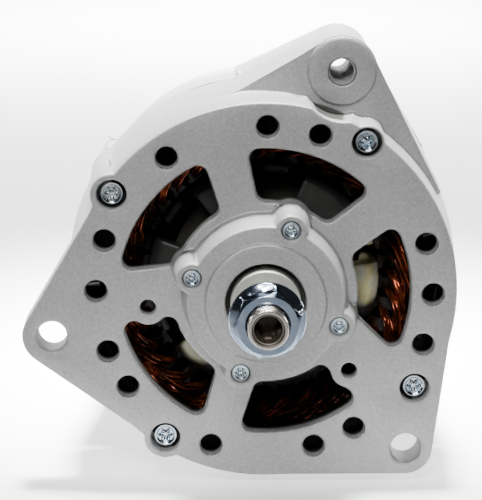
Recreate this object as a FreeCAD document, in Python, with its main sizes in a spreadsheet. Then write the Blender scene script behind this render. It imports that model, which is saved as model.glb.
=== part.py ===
import FreeCAD, Part
import math
import os
import Sketcher

# Alternator of a truck engine, of the kind with its fan and pulley outside, which are not fitted.
# The frame: X to the right and Z up as the drive end is seen from the front, Y into the machine.
# The origin is the centre of the shaft's front end face, on the shaft's axis.

doc = FreeCAD.newDocument("alternator")
sheet = doc.addObject("Spreadsheet::Sheet", "Sizes")

# Driving dimensions, in millimetres and degrees. A depth is measured along Y from the shaft's tip.
DRIVING_SIZES = (
    # fits and clearances
    ("press_gap", "0.02", "radial play of pieces pressed or wrung together"),
    ("screw_gap", "0.25", "radial play of a screw in its plain hole"),
    ("run_gap", "0.4", "gap between the races and the ball cage"),
    ("air_gap", "0.4", "gap between the rotor and the stator"),
    ("wall_gap", "2.0", "clearance of the lug over the rear casting"),
    ("past", "2.0", "how far a cut runs past the face that it opens"),
    ("join", "1.0", "how far a raised form starts inside the metal that carries it"),
    # shaft, nut and collar
    ("thread_r", "8.0", "shaft end thread, outside"),
    ("thread_held_r", "7.5", "the same thread at mid flank, where it meets the nut's"),
    ("thread_len", "17", "length of the shaft end thread"),
    ("socket_r", "5.5", "round socket in the shaft's end"),
    ("socket_rim_r", "6.5", "bevelled mouth of that socket"),
    ("socket_depth", "12", "depth of that socket"),
    ("seat_r", "8.5", "shaft where the pulley and the front bearing sit"),
    ("nut_reach", "6", "shaft that stands out of the nut"),
    ("nut_height", "10", "nut with its flange"),
    ("nut_half_flat", "12", "half the width across the nut's flats"),
    ("nut_turn", "15.5", "angle of the nut's first corner"),
    ("nut_flange_r", "15.25", "flange of the nut"),
    ("nut_flange", "2.2", "thickness of that flange at its rim"),
    ("nut_slope", "1.2", "height of the flange's sloped front"),
    ("nut_bevel", "2.2", "length of the bevel on the nut's corners"),
    ("nut_inset", "0.6", "how far that bevel starts inside the flats"),
    ("collar_front", "35.5", "depth of the collar that the pulley's hub bears on"),
    ("collar_r", "14.2", "outside of that collar"),
    ("collar_len", "9.5", "length of that collar"),
    # bearings
    ("front_race_r", "23.5", "front bearing, outside"),
    ("front_width", "14", "front bearing, width"),
    ("rear_race_r", "17.5", "rear bearing, outside"),
    ("rear_width", "11", "rear bearing, width"),
    ("rear_bore_r", "7.5", "rear bearing, bore"),
    ("rear_front", "171", "depth of the rear bearing's inner face"),
    ("front_race_wall", "3.8", "thickness of a front bearing ring"),
    ("rear_race_wall", "3.0", "thickness of a rear bearing ring"),
    ("seal", "1.0", "thickness of a bearing seal"),
    ("seal_set", "0.4", "how far a seal lies inside the bearing's face"),
    # rotor
    ("spacer_r", "12.5", "distance bush between front bearing and rotor"),
    ("rotor_front", "78", "depth of the rotor's front face"),
    ("rotor_len", "62", "length of the rotor over its pole pieces"),
    ("rotor_r", "48.5", "outside of the pole fingers"),
    ("bevel_r", "45", "pole's front face ends at this radius, with a bevel outside it"),
    ("bevel_len", "3.5", "length of that bevel along the shaft"),
    ("pole_disc", "14", "thickness of a pole piece's web"),
    ("pole_count", "6", "fingers on a pole piece"),
    ("pole_turn", "-6.5", "angle of the first front finger"),
    ("root_half", "15.5", "half angle of a finger at its root"),
    ("tip_half", "6.5", "half angle of a finger at its tip"),
    ("finger_len", "43", "length of a finger past its web"),
    ("root_wall", "8", "thickness of a finger at its root"),
    ("tip_wall", "3.5", "thickness of a finger at its tip"),
    ("core_seat_r", "9", "knurled shaft under the rotor"),
    ("yoke_r", "27", "iron core inside the field coil"),
    ("bobbin_wall", "1.4", "wall of the field coil's bobbin"),
    ("bobbin_r", "39", "flange of that bobbin"),
    ("coil_r", "37.5", "outside of the field coil"),
    # slip rings and brushes
    ("ring_front", "146", "depth of the front slip ring"),
    ("ring_width", "8", "width of a slip ring"),
    ("ring_pitch", "11", "distance between the slip rings"),
    ("ring_r", "14", "running face of a slip ring"),
    ("ring_wall", "2.5", "thickness of a slip ring"),
    ("sleeve_end", "3", "insulating sleeve past the rings, at either end"),
    ("tail_r", "8", "shaft under the slip rings"),
    ("shaft_end", "1", "shaft past the rear bearing"),
    ("brush_wide", "5", "brush across the shaft"),
    ("brush_deep", "6.4", "brush along the shaft"),
    ("brush_long", "15", "brush away from the shaft"),
    ("brush_gap", "0.1", "gap between a brush and its ring"),
    ("guide_gap", "0.25", "play of a brush in its guide"),
    ("holder_low", "1.6", "gap from the rings to the holder's foot"),
    ("holder_half", "9", "half width of the brush holder"),
    ("holder_top", "41", "height of the brush holder over the axis"),
    ("holder_cap", "2.5", "roof over the brush springs"),
    ("holder_end", "4", "holder past the brushes, towards the front"),
    ("spring_r", "2.1", "outside of a brush spring"),
    ("spring_wire", "0.7", "wire of a brush spring"),
    # stator
    ("core_front", "91", "depth of the stator core"),
    ("core_len", "38", "length of the stator core"),
    ("core_r", "69.5", "outside of the stator core"),
    ("slot_count", "36", "slots in the stator core"),
    ("slot_wide", "5", "width of a slot"),
    ("slot_mouth", "2.4", "width of a slot's mouth"),
    ("tooth_tip", "1.6", "depth of a slot's mouth"),
    ("slot_floor_r", "62.5", "bottom of a slot"),
    ("bar_gap", "0.25", "insulation around the wires in a slot"),
    ("coil_front", "22", "winding in front of the core"),
    ("coil_rear", "22", "winding behind the core"),
    ("coil_neck", "5", "straight neck of the winding before it spreads"),
    ("coil_inner_r", "50.6", "inside of the winding's head"),
    ("coil_outer_r", "63.5", "outside of the winding's head"),
    ("coil_round", "2.5", "sloped edge of the winding's head"),
    # drive-end casting
    ("face_depth", "56", "depth of the front face"),
    ("face_r", "78.8", "front face, outside"),
    ("split_depth", "103", "rear edge of the front casting"),
    ("rim_r", "82.5", "front casting at its rear edge, outside"),
    ("plate", "7", "thickness of the front face's plate"),
    ("cavity_r", "74.5", "inside of the shell at the plate"),
    ("cavity_rim_r", "76", "inside of the shell at its edge"),
    ("rib_r", "67", "inner edge of the ribs that hold the stator"),
    ("rib_wide", "6", "width of such a rib"),
    ("rib_count", "10", "number of such ribs"),
    ("rib_turn", "8.2", "angle of the first rib"),
    ("seat_gap", "0.05", "radial play of the stator core in its seat"),
    ("hub_r", "34", "hub at the plate"),
    ("hub_top_r", "31.5", "hub at its front face"),
    ("hub_height", "16", "height of the hub over the plate"),
    ("disc_r", "24.5", "machined disc on the hub"),
    ("disc_height", "1", "height of that disc"),
    ("hub_hole_r", "16.3", "hole around the collar"),
    ("retainer_r", "35.5", "plate behind the front bearing, outside"),
    ("retainer_hole_r", "20.2", "hole in that plate"),
    ("retainer_plate", "3", "thickness of that plate"),
    ("retainer_ring_r", "31.3", "ring of the four screws that hold it"),
    ("retainer_turn", "71.2", "angle of the first of them"),
    ("lobe_base_r", "8.4", "hub lobe around such a screw, at the plate"),
    ("lobe_top_r", "6.3", "the same lobe at the hub's face"),
    ("retainer_bore_r", "3.95", "counterbore for the screw's head"),
    ("retainer_bore", "5", "depth of that counterbore"),
    ("retainer_head_r", "3.55", "head of that screw"),
    ("retainer_head", "3.4", "height of that head"),
    ("retainer_shank_r", "2", "shank of that screw"),
    # windows of the front face
    ("window_in_r", "38.2", "inner edge of the windows"),
    ("window_out_r", "59.8", "outer edge of the windows"),
    ("window_corner_r", "4", "corner radius of the windows"),
    ("window_bevel", "0.9", "bevel along the windows' front edge"),
    # ring of round vents
    ("vent_ring_r", "69", "ring of the vents"),
    ("vent_r", "4.35", "radius of a vent"),
    ("vent_bevel", "0.7", "bevel around a vent"),
    ("vent_turn", "-0.8", "angle of the first vent"),
    ("vent_step", "18", "angle between neighbouring vents"),
    # housing screws
    ("bolt_ring_r", "74.5", "ring of the four housing screws"),
    ("bolt_turn", "56.5", "angle of the first of them"),
    ("bolt_lobe_r", "8.8", "lobe of the casting around a screw"),
    ("bolt_lobe_small_r", "7.2", "the slimmer lobe below the lug"),
    ("bolt_lobe_draft", "1.6", "growth of a lobe along its length"),
    ("bolt_rib_wide", "13", "width of the rib that a screw runs through"),
    ("bolt_bore_r", "6.15", "counterbore for a screw's head"),
    ("bolt_bore", "8", "depth of that counterbore"),
    ("bolt_head_r", "4.65", "head of a housing screw"),
    ("bolt_head", "4.4", "height of that head"),
    ("bolt_shank_r", "2.5", "shank of that screw"),
    ("bolt_len", "82", "length of that shank"),
    ("drive_r", "2.1", "recess for the driver"),
    ("drive_small_r", "1.6", "the same in the smaller screws"),
    ("drive_depth", "2", "depth of that recess"),
    # two small bored eyes between the windows
    ("eye_ring_r", "48.2", "ring of the eyes"),
    ("eye_left_turn", "187.2", "angle of the left eye"),
    ("eye_right_turn", "316.3", "angle of the right eye"),
    ("eye_r", "7.5", "metal around an eye"),
    ("eye_hole_r", "3.2", "hole of an eye"),
    # left ear
    ("ear_left_x", "-87.4", "left ear's bore, sideways"),
    ("ear_left_z", "-18.3", "left ear's bore, upwards"),
    ("ear_left_r", "12.2", "left ear's round end"),
    ("ear_left_thick", "13.5", "left ear's thickness"),
    ("ear_left_top_turn", "154.1", "where its upper edge leaves the casting"),
    ("ear_left_low_turn", "227.2", "where its lower edge leaves the casting"),
    ("ear_bore_r", "6.1", "bore of both ears"),
    ("ear_bevel", "1.1", "bevel at the mouth of those bores"),
    # right ear
    ("ear_right_x", "58.8", "right ear's bore, sideways"),
    ("ear_right_z", "-67.3", "right ear's bore, upwards"),
    ("ear_right_r", "11.2", "right ear's round end"),
    ("ear_right_thick", "16", "right ear's thickness"),
    ("ear_right_top_turn", "0", "where its outer edge leaves the casting"),
    ("ear_right_low_turn", "266.4", "where its lower edge leaves the casting"),
    # upper lug
    ("lug_x", "31.8", "lug's bore, sideways"),
    ("lug_z", "88.3", "lug's bore, upwards"),
    ("lug_r", "14.2", "lug's round end"),
    ("lug_front", "75", "depth of the lug's front face"),
    ("lug_len", "46", "length of the lug"),
    ("lug_draft", "1.5", "draft angle of the lug's sides"),
    ("lug_bore_r", "5.4", "bore of the lug"),
    ("lug_bevel", "0.8", "bevel at the mouth of that bore"),
    ("lug_spot_r", "13.9", "machined spot around the bore"),
    ("lug_spot", "1", "height of that spot"),
    ("scallop_r", "17.5", "clearance scallop in front of the lug"),
    # slip-ring end casting
    ("split_gap", "4", "open gap between the two castings"),
    ("rear_rim_r", "82", "rear casting at its front edge, outside"),
    ("rear_edge_r", "78.5", "rear casting where the back wall begins"),
    ("rear_face_r", "73", "flat back face, outside"),
    ("rear_face", "178", "depth of the back face"),
    ("rear_plate", "6", "thickness of the back wall"),
    ("rear_bevel", "6", "height of the sloped edge of the back wall"),
    ("rear_rib_len", "28", "length of the rear ribs"),
    ("rear_lobe_len", "43", "length of the lobes that take the housing screws"),
    ("rear_lobe_r", "8.4", "those lobes"),
    ("rear_lobe_draft", "1", "growth of such a lobe along its length"),
    ("rear_hub_r", "23.5", "rear bearing's hub"),
    ("rear_hub_end", "188", "depth of the hub's closed end"),
    ("rear_hub_top_r", "19.5", "closed end of the hub"),
    ("rear_hub_wall", "4", "thickness of the hub's closed end"),
    ("rear_hub_in", "4", "hub inside the back wall"),
    ("slot_in_r", "29.5", "rear windows, inner edge"),
    ("slot_out_r", "52", "rear windows, outer edge"),
    ("slot_half", "9.5", "half angle of a rear window"),
    ("slot_corner_r", "2.5", "corner radius of a rear window"),
    ("slot_first", "135", "angle of the first rear window"),
    ("slot_step", "30", "angle between the rear windows"),
    ("slot_windows", "10", "number of rear windows"),
    ("mouth_gap", "1.2", "play of the brush holder in the back wall"),
    # rectifier
    ("sink_first", "140", "angle at which the heat sinks begin"),
    ("sink_last", "400", "angle at which the heat sinks end"),
    ("board_first", "114", "angle at which the board begins"),
    ("board_last", "426", "angle at which the board ends"),
    ("board_front", "153.5", "depth of the rectifier's board"),
    ("board_plate", "2.5", "thickness of the board"),
    ("board_in_r", "29", "board, inside"),
    ("board_out_r", "68", "board, outside"),
    ("sink_front", "161", "depth of the heat sinks"),
    ("sink_plate", "4", "thickness of the heat sinks"),
    ("plus_in_r", "47", "outer heat sink, inside"),
    ("plus_out_r", "69.5", "outer heat sink, outside"),
    ("minus_in_r", "26", "inner heat sink, inside"),
    ("minus_out_r", "44", "inner heat sink, outside"),
    ("diode_r", "6.4", "power diode"),
    ("diode_len", "9", "length of a power diode"),
    ("diode_ahead", "2", "how far a power diode stands in front of its heat sink"),
    ("diode_lead_r", "1.2", "lead of a power diode"),
    ("plus_diode_ring_r", "57.5", "ring of the outer diodes"),
    ("minus_diode_ring_r", "35", "ring of the inner diodes"),
    ("small_diode_r", "2.6", "exciter diode"),
    ("small_diode_len", "4", "length of an exciter diode"),
    ("sink_post_r", "5", "post that carries the inner heat sink"),
    ("sink_screw_r", "2", "screw through that post"),
    ("sink_screw_head_r", "3.6", "head of that screw"),
    ("sink_screw_head", "2.6", "height of that head"),
    # terminals
    ("power_ring_r", "62", "ring of the two power studs"),
    ("plus_turn", "210", "angle of the insulated power stud"),
    ("ground_turn", "330", "angle of the earthed power stud"),
    ("power_stud_r", "4", "power stud, outside of its thread"),
    ("power_held_r", "3.6", "the same thread at mid flank, where other pieces hold it"),
    ("power_reach", "25", "power stud behind the back face"),
    ("power_nut_flat", "6.5", "half the width across a power nut's flats"),
    ("power_nut", "6.5", "height of a power nut"),
    ("power_washer_r", "8", "washer under a power nut"),
    ("power_washer", "1.5", "thickness of that washer"),
    ("bush_r", "10", "flange of the insulating bush"),
    ("bush_neck_r", "7", "neck of that bush"),
    ("bush_flange", "3", "thickness of that flange"),
    ("signal_left_turn", "125", "angle of the left signal stud"),
    ("signal_right_turn", "55", "angle of the right signal stud"),
    ("signal_stud_r", "2.5", "signal stud, outside of its thread"),
    ("signal_held_r", "2.2", "the same thread at mid flank, where other pieces hold it"),
    ("signal_reach", "16", "signal stud behind the back face"),
    ("signal_bush_r", "6.5", "flange of its insulating bush"),
    ("signal_neck_r", "4.5", "neck of that bush"),
    ("signal_nut_flat", "4", "half the width across a signal nut's flats"),
    ("signal_nut", "4", "height of a signal nut"),
    # regulator
    ("regulator_half", "25", "half width of the regulator"),
    ("regulator_low", "27", "lower edge of the regulator over the axis"),
    ("regulator_high", "57", "upper edge of the regulator over the axis"),
    ("regulator_plate", "3", "base plate of the regulator"),
    ("regulator_box", "9", "box on that plate"),
    ("regulator_inset", "9", "box inside the plate's ends"),
    ("regulator_edge", "2", "box inside the plate's long sides"),
    ("fin_count", "6", "cooling fins on the box"),
    ("fin_high", "3", "height of a fin"),
    ("fin_thick", "1.6", "thickness of a fin"),
    ("regulator_screw_x", "20.5", "screws that hold the regulator, sideways"),
    ("regulator_screw_r", "2", "shank of such a screw"),
    ("regulator_head_r", "3.7", "head of such a screw"),
    ("regulator_head", "2.8", "height of such a head"),
    ("regulator_screw_len", "7.5", "length of such a screw"),
)

for row, (alias, text, meaning) in enumerate(DRIVING_SIZES, start=1):
    sheet.set("A%d" % row, alias)
    sheet.set("B%d" % row, text)
    sheet.set("C%d" % row, meaning)
    sheet.setAlias("B%d" % row, alias)
doc.recompute()


class Dim:
    """A number together with the sheet formula that it comes from."""

    def __init__(self, number, formula):
        self.number = float(number)
        self.formula = formula

    def __add__(self, other):
        other = dim(other)
        return Dim(self.number + other.number, "(%s + %s)" % (self.formula, other.formula))

    def __sub__(self, other):
        other = dim(other)
        return Dim(self.number - other.number, "(%s - %s)" % (self.formula, other.formula))

    def __mul__(self, other):
        other = dim(other)
        return Dim(self.number * other.number, "(%s * %s)" % (self.formula, other.formula))

    def __truediv__(self, other):
        other = dim(other)
        return Dim(self.number / other.number, "(%s / %s)" % (self.formula, other.formula))

    def __neg__(self):
        return Dim(-self.number, "(0 - %s)" % self.formula)

    def __radd__(self, other):
        return dim(other) + self

    def __rsub__(self, other):
        return dim(other) - self

    def __rmul__(self, other):
        return dim(other) * self

    def __float__(self):
        return self.number


def dim(value):
    """A plain number as a Dim, and a Dim as it is."""
    if isinstance(value, Dim):
        return value
    return Dim(value, "(%r)" % float(value))


class SheetSizes:
    """Gives each driving dimension by its name."""

    def __getattr__(self, alias):
        return Dim(sheet.get(alias), "Sizes.%s" % alias)


S = SheetSizes()
ZERO = dim(0)
FULL_TURN = 360.0
QUARTERS = 4
HEXAGON = 6
CORNER_RATIO = 1 / math.cos(math.pi / HEXAGON)
BRUSHES = 2
TOUCH = 0.001
ORIGIN_POINT = (-1, 1)
ACROSS_AXIS = -1
UPRIGHT_AXIS = -2


def polar(radius, angle):
    """The point at a radius and an angle, counted from X towards Z."""
    turn = dim(angle)
    cosine = Dim(math.cos(math.radians(turn.number)), "cos(%s)" % turn.formula)
    sine = Dim(math.sin(math.radians(turn.number)), "sin(%s)" % turn.formula)
    return dim(radius) * cosine, dim(radius) * sine


def turned_point(along, across, angle):
    """A point given along and across a ray, turned with that ray."""
    x1, z1 = polar(along, angle)
    x2, z2 = polar(across, dim(angle) + FULL_TURN / QUARTERS)
    return x1 + x2, z1 + z2


def vector(point):
    return FreeCAD.Vector(float(point[0]), float(point[1]), 0)


def bind(item, prop, value):
    """Tie one property to the sheet."""
    item.setExpression(prop, dim(value).formula)


def new_body(label):
    body = doc.addObject("PartDesign::Body", label)
    body.Label = label
    body.AllowCompound = True
    return body


def origin_item(body, role):
    return [item for item in body.Origin.OriginFeatures if item.Role == role][0]


def new_sketch(body, role, depth=ZERO):
    """A sketch on one of the body's own planes; on XZ it looks along Y and lies at a depth."""
    sketch = body.newObject("Sketcher::SketchObject", body.Label + "_sketch")
    sketch.AttachmentSupport = [(origin_item(body, role), "")]
    sketch.MapMode = "FlatFace"
    offset = -dim(depth) if role == "XZ_Plane" else dim(depth)
    sketch.AttachmentOffset = FreeCAD.Placement(
        FreeCAD.Vector(0, 0, offset.number), FreeCAD.Rotation())
    bind(sketch, "AttachmentOffset.Base.z", offset)
    return sketch


def tie(sketch, kind, places, value):
    """One dimension of a sketch, bound to its formula."""
    index = sketch.addConstraint(Sketcher.Constraint(kind, *places, dim(value).number))
    bind(sketch, "Constraints[%d]" % index, value)


def pin(sketch, edge, end, point):
    """Hold one end of a sketch edge at a bound place."""
    x, y = dim(point[0]), dim(point[1])
    if x.formula == ZERO.formula:
        sketch.addConstraint(Sketcher.Constraint("PointOnObject", edge, end, UPRIGHT_AXIS))
    else:
        tie(sketch, "DistanceX", ORIGIN_POINT + (edge, end), x)
    if y.formula == ZERO.formula:
        sketch.addConstraint(Sketcher.Constraint("PointOnObject", edge, end, ACROSS_AXIS))
    else:
        tie(sketch, "DistanceY", ORIGIN_POINT + (edge, end), y)


def polygon(sketch, points):
    """Closed straight outline with every corner bound."""
    first = sketch.GeometryCount
    count = len(points)
    for i in range(count):
        sketch.addGeometry(Part.LineSegment(vector(points[i]), vector(points[(i + 1) % count])), False)
    for i in range(count):
        following = first + (i + 1) % count
        sketch.addConstraint(Sketcher.Constraint("Coincident", first + i, 2, following, 1))
    for i, point in enumerate(points):
        pin(sketch, first + i, 1, point)


def circle(sketch, centre, radius):
    """Circle with its centre and radius bound."""
    up = FreeCAD.Vector(0, 0, 1)
    edge = sketch.addGeometry(Part.Circle(vector(centre), up, dim(radius).number), False)
    pin(sketch, edge, 3, centre)
    tie(sketch, "Radius", (edge,), radius)


def revolve(body, points, cut=False):
    """Turn a profile of (radius, depth) corners about the body's Y axis."""
    sketch = new_sketch(body, "XY_Plane")
    polygon(sketch, points)
    kind = "PartDesign::Groove" if cut else "PartDesign::Revolution"
    feature = body.newObject(kind, body.Label + "_turned")
    feature.Profile = sketch
    feature.ReferenceAxis = (sketch, ["V_Axis"])
    feature.Angle = FULL_TURN
    return feature


def revolve_rings(body, rings):
    """Turn several separate profiles at once."""
    sketch = new_sketch(body, "XY_Plane")
    for points in rings:
        polygon(sketch, points)
    feature = body.newObject("PartDesign::Revolution", body.Label + "_turned")
    feature.Profile = sketch
    feature.ReferenceAxis = (sketch, ["V_Axis"])
    feature.Angle = FULL_TURN
    return feature


def pad(body, sketch, length, draft=None):
    """Raise a sketch backwards, along Y."""
    feature = body.newObject("PartDesign::Pad", body.Label + "_pad")
    feature.Profile = sketch
    feature.Reversed = True
    bind(feature, "Length", length)
    if draft is not None:
        bind(feature, "TaperAngle", draft)
    return feature


def pocket(body, sketch, length):
    """Sink a sketch backwards, along Y."""
    feature = body.newObject("PartDesign::Pocket", body.Label + "_pocket")
    feature.Profile = sketch
    bind(feature, "Length", length)
    return feature


def repeat(body, features, count, span=FULL_TURN):
    """Copy features evenly about the shaft's axis."""
    pattern = body.newObject("PartDesign::PolarPattern", body.Label + "_around")
    pattern.Originals = features
    pattern.Axis = (origin_item(body, "Y_Axis"), [""])
    pattern.Angle = span
    bind(pattern, "Occurrences", count)
    body.Tip = pattern
    return pattern


def cone(body, centre, back, length, back_r, front_r):
    """Round boss along Y, from its deep end towards the front."""
    feature = body.newObject("PartDesign::AdditiveCone", body.Label + "_boss")
    feature.AttachmentSupport = [(origin_item(body, "XZ_Plane"), "")]
    feature.MapMode = "FlatFace"
    bind(feature, "AttachmentOffset.Base.x", centre[0])
    bind(feature, "AttachmentOffset.Base.y", centre[1])
    bind(feature, "AttachmentOffset.Base.z", -dim(back))
    bind(feature, "Radius1", back_r)
    bind(feature, "Radius2", front_r)
    bind(feature, "Height", length)
    return feature


def holes(body, centres, radius, depth, length):
    """Round holes of one size, sunk along Y from a depth."""
    sketch = new_sketch(body, "XZ_Plane", depth)
    for centre in centres:
        circle(sketch, centre, radius)
    return pocket(body, sketch, length)


def discs(body, centres, radius, depth, length):
    """Round pins of one size, raised along Y from a depth."""
    sketch = new_sketch(body, "XZ_Plane", depth)
    for centre in centres:
        circle(sketch, centre, radius)
    return pad(body, sketch, length)


def bar(sketch, inner, outer, width, angle):
    """Rectangle along a ray."""
    half = dim(width) / 2
    corners = ((inner, -half), (outer, -half), (outer, half), (inner, half))
    polygon(sketch, [turned_point(along, across, angle) for along, across in corners])


def hexagon(sketch, centre, half_flat, turn):
    """Regular hexagon by half its width across flats."""
    corner = dim(half_flat) * CORNER_RATIO
    points = []
    for i in range(HEXAGON):
        x, z = polar(corner, dim(turn) + FULL_TURN / HEXAGON * i)
        points.append((dim(centre[0]) + x, dim(centre[1]) + z))
    polygon(sketch, points)


def arc(a, b, c):
    """Arc through three points."""
    return Part.Arc(a, b, c)


def at(radius, angle):
    """A plain point by radius and angle in degrees."""
    turn = math.radians(float(angle))
    return FreeCAD.Vector(float(radius) * math.cos(turn), float(radius) * math.sin(turn), 0)


def arc_about(centre, start, end, radius):
    """Arc of less than half a turn about a centre, from one point to another."""
    middle = (start + end) * 0.5 - centre
    middle.normalize()
    return Part.Arc(start, centre + middle * float(radius), end)


def on_circle(point, radius):
    """The place on a circle about the axis that lies in the direction of a point."""
    return point * (radius / point.Length)


def side_corner(side, radius_from_axis, corner, inward):
    """Centre of a corner arc that touches a side line and a circle about the axis."""
    foot, along, normal = side
    offset = foot + normal * corner
    middle = -offset.dot(along)
    nearest = offset + along * middle
    half = math.sqrt(radius_from_axis ** 2 - nearest.Length ** 2)
    first, second = nearest + along * half, nearest - along * half
    return first if (first - inward).Length < (second - inward).Length else second


def window_wires(inner_r, outer_r, corner, right, left):
    """Outline of a window between two circles; a side is its angles at the inner and outer circle."""
    centre_turn = (right[0] + right[1] + left[0] + left[1]) / 4
    heart = at((inner_r + outer_r) / 2, centre_turn)
    corners = []
    for angles in (right, left):
        inner_end, outer_end = at(inner_r, angles[0]), at(outer_r, angles[1])
        along = (outer_end - inner_end).normalize()
        normal = FreeCAD.Vector(-along.y, along.x, 0)
        if normal.dot(heart - inner_end) < 0:
            normal = -normal
        side = (inner_end, along, normal)
        low = side_corner(side, inner_r + corner, corner, inner_end)
        high = side_corner(side, outer_r - corner, corner, outer_end)
        corners.append((low, high, low - normal * corner, high - normal * corner))
    (low_r, high_r, foot_r, head_r), (low_l, high_l, foot_l, head_l) = corners
    out_r, out_l = on_circle(high_r, outer_r), on_circle(high_l, outer_r)
    in_r, in_l = on_circle(low_r, inner_r), on_circle(low_l, inner_r)
    return [
        Part.LineSegment(foot_r, head_r),
        arc_about(high_r, head_r, out_r, corner),
        arc(out_r, at(outer_r, centre_turn), out_l),
        arc_about(high_l, out_l, head_l, corner),
        Part.LineSegment(head_l, foot_l),
        arc_about(low_l, foot_l, in_l, corner),
        arc(in_l, at(inner_r, centre_turn), in_r),
        arc_about(low_r, in_r, foot_r, corner),
    ]


def touch_point(outside, centre, radius, side):
    """Where a line from a point touches a circle; side is 1 or -1."""
    gap = centre - outside
    reach = gap.Length
    base = math.atan2(gap.y, gap.x)
    swing = math.asin(radius / reach)
    length = math.sqrt(reach ** 2 - radius ** 2)
    turn = base + side * swing
    return outside + FreeCAD.Vector(length * math.cos(turn), length * math.sin(turn), 0)


def draw(body, depth, edges):
    """Sketch at a depth that holds one chain of lines and arcs."""
    sketch = new_sketch(body, "XZ_Plane", depth)
    for edge in edges:
        sketch.addGeometry(edge, False)
    return sketch


def bevel_edges(body, size, chosen):
    """Bevel the edges of the finished body that a test picks out."""
    doc.recompute()
    base = body.Tip
    names = ["Edge%d" % (i + 1) for i, edge in enumerate(base.Shape.Edges) if chosen(edge)]
    feature = body.newObject("PartDesign::Chamfer", body.Label + "_bevel")
    feature.Base = (base, names)
    bind(feature, "Size", size)
    return feature


def on_plane(edge, depth):
    """Whether an edge lies in the plane at a depth."""
    box = edge.BoundBox
    return max(abs(box.YMin - float(depth)), abs(box.YMax - float(depth))) < TOUCH


def is_ring(edge, radius):
    return isinstance(edge.Curve, Part.Circle) and abs(edge.Curve.Radius - float(radius)) < TOUCH


def turned(label, points):
    """A whole piece turned from one profile."""
    body = new_body(label)
    revolve(body, points)
    return body


def tube(label, inner, outer, front, length):
    """A plain ring about the shaft."""
    front, back = dim(front), dim(front) + length
    return turned(label, [(inner, front), (outer, front), (outer, back), (inner, back)])


# Depths that several pieces share
nut_back = S.nut_reach + S.nut_height
front_bearing = S.collar_front + S.collar_len
retainer_front = front_bearing + S.front_width
plate_back = S.face_depth + S.plate
hub_face = S.face_depth - S.hub_height
core_back = S.core_front + S.core_len
rear_rim = S.split_depth + S.split_gap
rear_wall = S.rear_face - S.rear_plate
bolt_seat = S.face_depth + S.bolt_bore
rear_bearing_back = S.rear_front + S.rear_width
sink_back = S.sink_front + S.sink_plate
web_back = S.rotor_front + S.pole_disc
rotor_back = S.rotor_front + S.rotor_len
plus_nut_end = S.rear_face + S.bush_flange + S.power_washer + S.power_nut
ground_nut_end = S.rear_face + S.power_washer + S.power_nut
signal_nut_end = S.rear_face + S.bush_flange + S.signal_nut

# Places that several pieces share
bolt_turns = [S.bolt_turn + FULL_TURN / QUARTERS * i for i in range(QUARTERS)]
retainer_turns = [S.retainer_turn + FULL_TURN / QUARTERS * i for i in range(QUARTERS)]
bolt_places = [polar(S.bolt_ring_r, turn) for turn in bolt_turns]
retainer_places = [polar(S.retainer_ring_r, turn) for turn in retainer_turns]
ear_left = (S.ear_left_x, S.ear_left_z)
ear_right = (S.ear_right_x, S.ear_right_z)
lug = (S.lug_x, S.lug_z)
eyes = [polar(S.eye_ring_r, S.eye_left_turn), polar(S.eye_ring_r, S.eye_right_turn)]
plus_place = polar(S.power_ring_r, S.plus_turn)
ground_place = polar(S.power_ring_r, S.ground_turn)
signal_places = [polar(S.power_ring_r, S.signal_left_turn), polar(S.power_ring_r, S.signal_right_turn)]
PLUS_DIODES = (180, 240, 300)
MINUS_DIODES = (210, 240, 300)
SMALL_DIODES = (345, 0, 15)
SINK_POSTS = (180, 270, 0)

# The five windows: angles of the right and the left side, each at the inner and the outer circle
WINDOW_SIDES = (
    ((118.3, 114.5), (161.7, 171.0)),
    ((48.3, 44.6), (94.0, 96.8)),
    ((-13.8, -25.5), (23.7, 28.0)),
    ((195.1, 192.3), (238.4, 244.3)),
    ((264.6, 260.0), (308.1, 310.0)),
)
# Steps of the vent ring that hold a vent, and two vents that stand off the steps
VENT_STEPS = (0, 1, 4, 5, 7, 9, 10, 12, 14, 16, 19)
VENT_ODD_TURNS = (200.9, 302.5)


def ear_outline(centre, radius, start_turn, end_turn):
    """Ear with straight edges that touch its round end and leave the casting at two angles."""
    heart = vector(centre)
    start, end = at(S.face_r, start_turn), at(S.face_r, end_turn)
    first = touch_point(start, heart, float(radius), -1)
    last = touch_point(end, heart, float(radius), 1)
    tip = heart + (heart * (float(radius) / heart.Length))
    inner = at(float(S.rib_r), (float(start_turn) + float(end_turn)) / 2)
    return [
        Part.LineSegment(start, first),
        arc(first, tip, last),
        Part.LineSegment(last, end),
        Part.LineSegment(end, inner),
        Part.LineSegment(inner, start),
    ]


def lug_outline():
    """Hull of the lug's round end and the shell, closed along the shell."""
    heart = vector(lug)
    radius, body_r = float(S.lug_r), float(S.rim_r)
    mid = math.degrees(math.atan2(heart.y, heart.x))
    spread = math.degrees(math.acos((body_r - radius) / heart.Length))
    left, right = mid + spread, mid - spread
    inner_r = float(S.cavity_rim_r)
    return [
        Part.LineSegment(at(body_r, left), heart + at(radius, left)),
        arc(heart + at(radius, left), heart + at(radius, mid), heart + at(radius, right)),
        Part.LineSegment(heart + at(radius, right), at(body_r, right)),
        Part.LineSegment(at(body_r, right), at(inner_r, right)),
        arc(at(inner_r, right), at(inner_r, mid), at(inner_r, left)),
        Part.LineSegment(at(inner_r, left), at(body_r, left)),
    ]


def stator_ribs(body, start, length):
    """Ribs inside a casting that centre the stator core and carry the housing screws."""
    sketch = new_sketch(body, "XZ_Plane", start)
    bar(sketch, S.rib_r, S.cavity_rim_r, S.rib_wide, S.rib_turn)
    slim = pad(body, sketch, length)
    repeat(body, [slim], S.rib_count)
    sketch = new_sketch(body, "XZ_Plane", start)
    bar(sketch, S.rib_r, S.cavity_rim_r, S.bolt_rib_wide, S.bolt_turn)
    wide = pad(body, sketch, length)
    repeat(body, [wide], dim(QUARTERS))


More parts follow.
